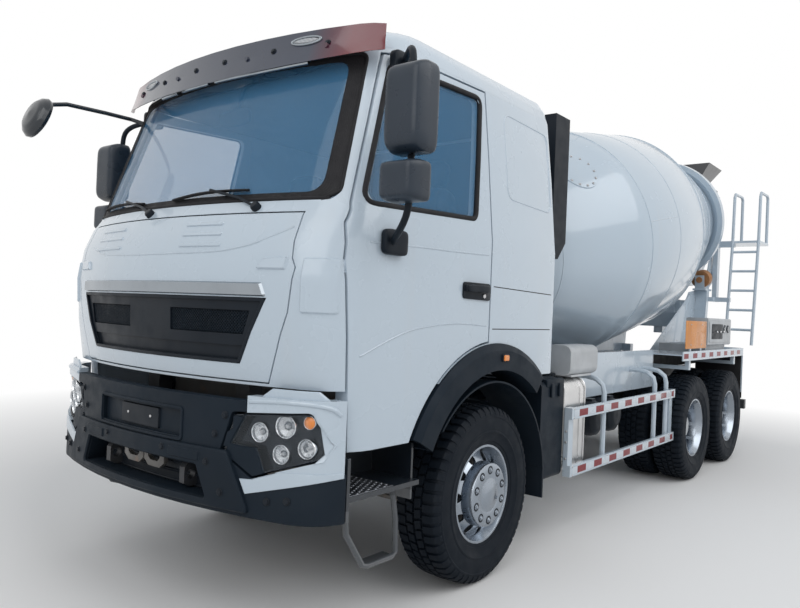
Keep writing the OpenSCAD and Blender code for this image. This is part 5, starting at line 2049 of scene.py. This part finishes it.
@dataclass
class SideGear:
    """Tapes, guard bolts, tank fittings and battery lid along the frame."""

    guard_y: float = 1.2
    guard_levels: Pair = (0.47, 0.89)
    guard_ends: Pair = (-3.4, -1.145)
    guard_posts: tuple[float, ...] = (-1.145, -1.79, -2.98, -3.3, -3.4)
    cap_spot: Triple = (-1.212, 0.95, 1.165)
    cap_radius: float = 0.043
    seam_x: Pair = (-1.115, -1.475)

    def build(self) -> None:
        """Dresses the sides between the axles."""
        tape, bolts = shapes(2)
        start, end = self.guard_ends
        for z in self.guard_levels:
            low = (start, self.guard_y - 0.0005, z + 0.016)
            tape.box(low, (end, self.guard_y + 0.0015, z + 0.066), 0.0006)
        tape.box((-6.02, 1.2145, 1.262), (-3.625, 1.2165, 1.312), 0.0006)
        tape.mirrored().make("side_tapes", TAPE)
        for x in self.guard_posts:
            for z in (0.479, 0.543, 0.899, 0.963):
                bolts.bolt((x, self.guard_y, z), LEFT, 0.006, 0.005)
        for z in (0.6, 0.72, 0.8):
            bolts.bolt((-1.105, 1.157, z), FORWARD, 0.007, 0.006)
        bolts.mirrored().make("guard_bolts", STEEL)
        self.tank()

    def tank(self) -> None:
        """Filler cap and end seams of the fuel tank, and the lid of the battery box."""
        cap, lid, seams = shapes(3)
        x, y, z = self.cap_spot
        profile = [(0, 0.046), (0.026, 0.046), (0.041, 0.043), (0.044, 0.037), (0.044, 0.0), (0, 0.0)]
        cap.lathe(profile, self.cap_spot, UP, 24)
        for a in turns(12):
            grip = (x + self.cap_radius * math.cos(a), y + self.cap_radius * math.sin(a), z + 0.025)
            cap.crowned(grip, (0.005, 0.005, 0.016), 4.0, 2)
        cap.make("tank_cap", BLACK)
        lid.box((-1.096, 0.512, 1.13), (-0.82, 1.136, 1.19), 0.016)
        for x in (-1.02, -0.9):
            lid.crowned((x, 1.138, 1.11), (0.022, 0.008, 0.05), 5.0, 6)
        for y in (0.62, 0.76, 0.9, 1.04):
            lid.crowned((-0.958, y, 1.19), (0.115, 0.022, 0.008), 6.0, 6)
        lid.make("battery_lid", CHARCOAL)
        ring = even_outline(rectangle((0.516, 0.476), (1.129, 1.169)), 0.09, 8, 8)
        for x in self.seam_x:
            seams.tube([(x, y, z) for y, z in ring], 0.006, 6, True)
        seams.make("tank_seams", TANK)


@dataclass
class Drum:
    """Weld seams and bolted hatch plates on the mixing drum."""

    front_x: float = -1.45
    front_z: float = 2.095
    tilt: float = 10.6
    radius: float = 1.15
    sections: Line = ((0.77, 0.3), (1.15, 1.38), (1.15, 3.0), (0.62, 5.4))
    rings: tuple[float, ...] = (0.305, 1.38, 2.19, 3.0, 4.15)
    # Seams along the drum: start, end and degrees from the top.
    runs: tuple[Triple, ...] = ((0.31, 1.38, 25), (1.38, 2.19, 80), (2.19, 3.0, 150), (3.0, 4.15, 40),
                                (4.15, 4.9, 100))
    hatch_place: float = 0.86
    hatch_half: Pair = (0.19, 0.26)
    hatch_bolts: int = 14
    degrees_per_unit: float = 10.0

    def axis(self) -> Vector:
        """Direction from the front end to the mouth."""
        a = math.radians(self.tilt)
        return Vector((-math.cos(a), 0, math.sin(a)))

    def skin_radius(self, s: float) -> float:
        """Outside radius at a distance from the front end.

        Args:
            s: Distance from the front end.

        Returns:
            The radius.
        """
        for (r0, s0), (r1, s1) in zip(self.sections, self.sections[1:]):
            if s <= s1:
                return r0 + (r1 - r0) * (s - s0) / (s1 - s0)
        return self.sections[-1][0]

    def spot(self, s: float, angle: float, lift: float = 0.0) -> Vector:
        """Point on the drum.

        Args:
            s: Distance from the front end.
            angle: Degrees from the top towards the truck's left.
            lift: Height over the skin.

        Returns:
            The point.
        """
        way = self.axis()
        up = Vector((math.sin(math.radians(self.tilt)), 0, math.cos(math.radians(self.tilt))))
        a = math.radians(angle)
        r = self.skin_radius(s) + lift
        return Vector((self.front_x, 0, self.front_z)) + way * s + (up * math.cos(a) + LEFT * math.sin(a)) * r

    def build(self) -> None:
        """Adds the seams and two hatches."""
        seams = Shape()
        for s in self.rings:
            seams.tube([self.spot(s, 360 * k / 120, -0.002) for k in range(120)], 0.006, 6, True)
        for turn in (0, 180):
            for start, end, angle in self.runs:
                seams.tube([self.spot(s, angle + turn, -0.002) for s in spread(start, end, 10)], 0.005, 6)
        seams.make("drum_welds", DRUM_WHITE, "drum")
        self.hatch("upper", 43.0)
        self.hatch("lower", 223.0)

    def hatch(self, name: str, angle: float) -> None:
        """Bolted oval plate over a cleaning hole.

        Args:
            name: Word for the hatch.
            angle: Degrees from the top towards the truck's left.
        """
        plate, bolts = shapes(2)
        s, scale = self.hatch_place, self.degrees_per_unit
        normal = (self.spot(s, angle) - self.spot(s, angle, -0.5)).normalized()
        half, turn = self.hatch_half[0], math.degrees(self.hatch_half[1] / self.radius)

        def skin(u: float, v: float) -> Vector:
            """Point of the drum under the plate's two coordinates."""
            return self.spot(u, v * scale)

        ring = [(s + half * math.cos(a), (angle + turn * math.sin(a)) / scale) for a in turns(40)]
        plate.patch(ring, skin, normal, 0.01, sink=0.012, chamfer=0.006, step=0.05)
        for a in turns(self.hatch_bolts):
            foot = self.spot(s + 0.165 * math.cos(a), angle + turn * 0.87 * math.sin(a), 0.009)
            bolts.bolt(foot, normal, 0.01, 0.01)
        plate.make(f"drum_hatch_{name}", DRUM_WHITE, "drum")
        bolts.make(f"drum_hatch_bolts_{name}", STEEL, "drum")


@dataclass
class RearGear:
    """Orange boards, control box fittings, tail lamps, hopper posts, mud flaps and a dark panel of painted
    shade in the rear mudguards.
    """

    post: Line = (
        (-6.45, 2.07), (-6.6, 2.07), (-6.84, 2.66), (-7.035, 2.76), (-7.035, 3.44), (-6.985, 3.44),
        (-6.985, 2.87), (-6.77, 2.76))
    side_plate: Line = ((-4.6, 1.06), (-6.33, 1.06), (-6.44, 1.985), (-6.21, 2.02), (-4.6, 1.215))
    side_plate_y: Pair = (0.4825, 0.4925)
    plate_bolts: tuple[float, ...] = (-4.7, -5.1, -5.5, -5.9, -6.25)
    board_legs: Pair = (-3.9, -4.27)
    stick_x: Triple = (-4.72, -4.86, -5.0)
    dial_x: Pair = (-5.16, -5.3)

    def build(self) -> None:
        """Adds the rear details."""
        self.boards()
        self.controls()
        self.tail_lamps()
        self.posts()
        self.linings()

    def boards(self) -> None:
        """Blank orange board on two legs over the mudguard, on both sides."""
        board, legs = shapes(2)
        ring = even_outline(rectangle((-3.72, 1.36), (-4.45, 1.65)), 0.012, 4, 3)
        board.prism(ring, from_side, 1.196, 1.199, 0.001)
        for x in self.board_legs:
            legs.box((x - 0.02, 1.186, 1.298), (x + 0.02, 1.1965, 1.64), 0.002)
            for z in (1.4, 1.61):
                legs.bolt((x, 1.199, z), LEFT, 0.006, 0.004)
        board.mirrored().make("orange_boards", ORANGE)
        legs.mirrored().make("board_legs", WHITE)

    def controls(self) -> None:
        """Lid, dark panel, sticks and dials of the control box."""
        lid, panel, dials, sticks = shapes(4)
        ring = even_outline(rectangle((-4.56, 1.42), (-5.44, 1.66)), 0.02, 4, 4)
        lid.prism(ring, from_side, 1.193, 1.203)
        for x in self.stick_x:
            sticks.tube([(x, 1.205, 1.53), (x, 1.235, 1.535)], 0.006, 8)
            sticks.crowned((x, 1.24, 1.536), (0.013, 0.013, 0.013), 2.2, 5)
        ring = even_outline(rectangle((-4.64, 1.455), (-5.08, 1.625)), 0.015, 4, 4)
        panel.prism(ring, from_side, 1.2025, 1.207, 0.0015)
        case = [(0, 0), (0.045, 0), (0.045, 0.008), (0.04, 0.012), (0.036, 0.008), (0, 0.008)]
        glass = [(0, 0.008), (0.036, 0.0085), (0.036, 0.0095), (0, 0.0105)]
        for x in self.dial_x:
            panel.lathe(case, (x, 1.203, 1.57), LEFT, 28)
            dials.lathe(glass, (x, 1.203, 1.57), LEFT, 28)
        lid.make("control_lid", GREY)
        panel.make("control_levers", BLACK)
        dials.make("control_dials", LENS)
        sticks.make("control_sticks", STEEL)

    @staticmethod
    def tail_lamps() -> None:
        """Tail lamps in three colours on the rear bar."""
        lamps = (("tail", RED, 0.64, 0.77), ("turn", AMBER, 0.775, 0.895), ("reverse", LENS, 0.9, 1.02))
        for name, finish, start, end in lamps:
            lens = Shape()
            lens.crowned((-6.494, (start + end) / 2, 0.94), (0.014, (end - start) / 2, 0.048), 7.0, 8)
            lens.mirrored().make(f"{name}_lamps", finish)

    def posts(self) -> None:
        """Plate posts up to the hopper and bolted side plates of the rear pedestal."""
        posts = Shape()
        posts.prism(self.post, from_side, 0.592, 0.612)
        for z in (2.9, 3.38):
            posts.box((-7.025, 0.545, z), (-6.995, 0.596, z + 0.03), 0.004)
        posts.prism(self.side_plate, from_side, *self.side_plate_y)
        for x in self.plate_bolts:
            posts.bolt((x, self.side_plate_y[1], 1.12), LEFT, 0.012, 0.01)
            posts.box((x - 0.03, 0.4345, 1.09), (x + 0.03, 0.4835, 1.15), 0.002)
        posts.mirrored().make("hopper_posts", WHITE)

    @staticmethod
    def linings() -> None:
        """Dark panel under the rear mudguards, painted shade where the mudguard's inside lies in shade, and
        rubber flaps behind the tyres.
        """
        lining = Shape()
        # Painted shade: a dark sheet inside the mudguard where there is only shade.
        lining.box((-6.03, 0.642, 1.1), (-3.64, 0.652, 1.292))
        lining.box((-6.034, 0.645, 0.7), (-6.026, 1.2, 1.288))
        lining.box((-6.056, 0.645, 0.7), (-6.048, 1.212, 1.3))
        lining.mirrored().make("mudguard_linings", RUBBER)


@dataclass
class Interior:
    """Seats, linings, instrument hood and mirror inside the cab."""

    seat_y: float = 0.59
    lean: float = 12.0
    stitch_y: Pair = (-0.55, 0.55)
    stitch_z: Pair = (-0.3, 0.25)

    def build(self) -> None:
        """Adds the inside of the cab."""
        for side in Side:
            self.seat(side)
        lining, hood, mirror = shapes(3)
        lining.box((-0.752, -1.1, 1.3), (-0.735, 1.1, 2.93), 0.006)
        lining.box((-0.72, -1.02, 2.945), (1.0, 1.02, 2.955), 0.004)
        lining.box((-0.7, -1.08, 1.3), (-0.15, 1.08, 1.75), 0.03)
        lining.make("cab_lining", TRIM)
        hood.crowned((1.03, 0.56, 2.085), (0.16, 0.26, 0.055), 5.0, 8)
        hood.crowned((1.0, -0.1, 2.06), (0.12, 0.3, 0.04), 5.0, 8)
        hood.make("instrument_hood", TRIM)
        mirror.crowned((1.17, 0.1, 2.7), (0.02, 0.13, 0.05), 5.0, 6)
        mirror.tube([(1.17, 0.1, 2.72), (1.1, 0.1, 2.9), (1.02, 0.1, 2.95)], 0.012, 8)
        mirror.make("cab_mirror", BLACK)

    def seat(self, side: Side) -> None:
        """One seat: crowned cushion, back and head rest with sewn channels, on a base.

        Args:
            side: Side of the truck.
        """
        turn = Matrix.Rotation(math.radians(-self.lean), 3, "Y")
        cushion, back, head, base = shapes(4)
        cushion.crowned((0.335, self.seat_y, 1.705), (0.275, 0.262, 0.08), 4.5, 26, None, self.channels)
        middle = Vector((0.105, self.seat_y, 1.755)) + turn @ Vector((0, 0, 0.36))
        back.crowned(middle, (0.07, 0.252, 0.345), 4.5, 26, turn, self.back_channels)
        middle = Vector((-0.042, self.seat_y, 2.43)) + turn @ Vector((0, 0, 0.112))
        head.crowned(middle, (0.05, 0.15, 0.095), 4.0, 14, turn)
        base.box((0.12, 0.4, 1.295), (0.52, 0.78, 1.628), 0.02)
        for y in (0.52, 0.66):
            base.tube([(-0.035, y, 2.4), (-0.05, y, 2.47)], 0.008, 8)
        for shape, name in ((cushion, "seat_cushion"), (back, "seat_back"), (head, "head_rest")):
            replaced = ["seats"] if side is Side.LEFT and shape is cushion else []
            piece = shape.on(side).make(f"{name}_{side}", CLOTH, replaces=replaced, smooth=60.0)
        base.on(side).make(f"seat_base_{side}", TRIM)

    @staticmethod
    def stitches(at: float, places: Sequence[float], width: float) -> float:
        """Depth of the sewn channels at a place, 1 in the middle of one."""
        return sum(math.exp(-((at - c) / width) ** 2) for c in places)

    def channels(self, spot: Vector) -> Vector:
        """Sewn channels and pulled-in sides of a seat cushion.

        Args:
            spot: Point on the unit block.

        Returns:
            The point moved.
        """
        groove = self.stitches(spot.y, self.stitch_y, 0.045) + self.stitches(spot.x, (-0.1,), 0.05)
        pull = 1.0 - 0.05 * (1 - spot.x * spot.x) * abs(spot.y) ** 3
        z = spot.z - (0.16 * min(1.0, groove) if spot.z > 0.4 else 0.0)
        return Vector((spot.x * (1.0 - 0.04 * (1 - spot.y ** 2)), spot.y * pull, z))

    def back_channels(self, spot: Vector) -> Vector:
        """Sewn channels and side bolsters of a seat back.

        Args:
            spot: Point on the unit block.

        Returns:
            The point moved.
        """
        groove = self.stitches(spot.y, self.stitch_y, 0.045) + self.stitches(spot.z, self.stitch_z, 0.035)
        pull = 1.0 - 0.06 * (1 - spot.z * spot.z) * abs(spot.y) ** 3
        x = spot.x - (0.2 * min(1.0, groove) if spot.x > 0.3 else 0.0)
        return Vector((x, spot.y * pull, spot.z))


def main() -> None:
    """Builds the scene in order."""
    logging.basicConfig(level=logging.INFO, format="%(message)s")
    for part in (Studio(), Wheels(), CabFront(), Doors(), Headlamps(), Bumper(), ArchesAndSteps(),
                 SideGear(), Drum(), RearGear(), Interior()):
        part.build()
        LOG.info("%s done", type(part).__name__)
    Solids().dress()


if __name__ == "__main__":
    main()
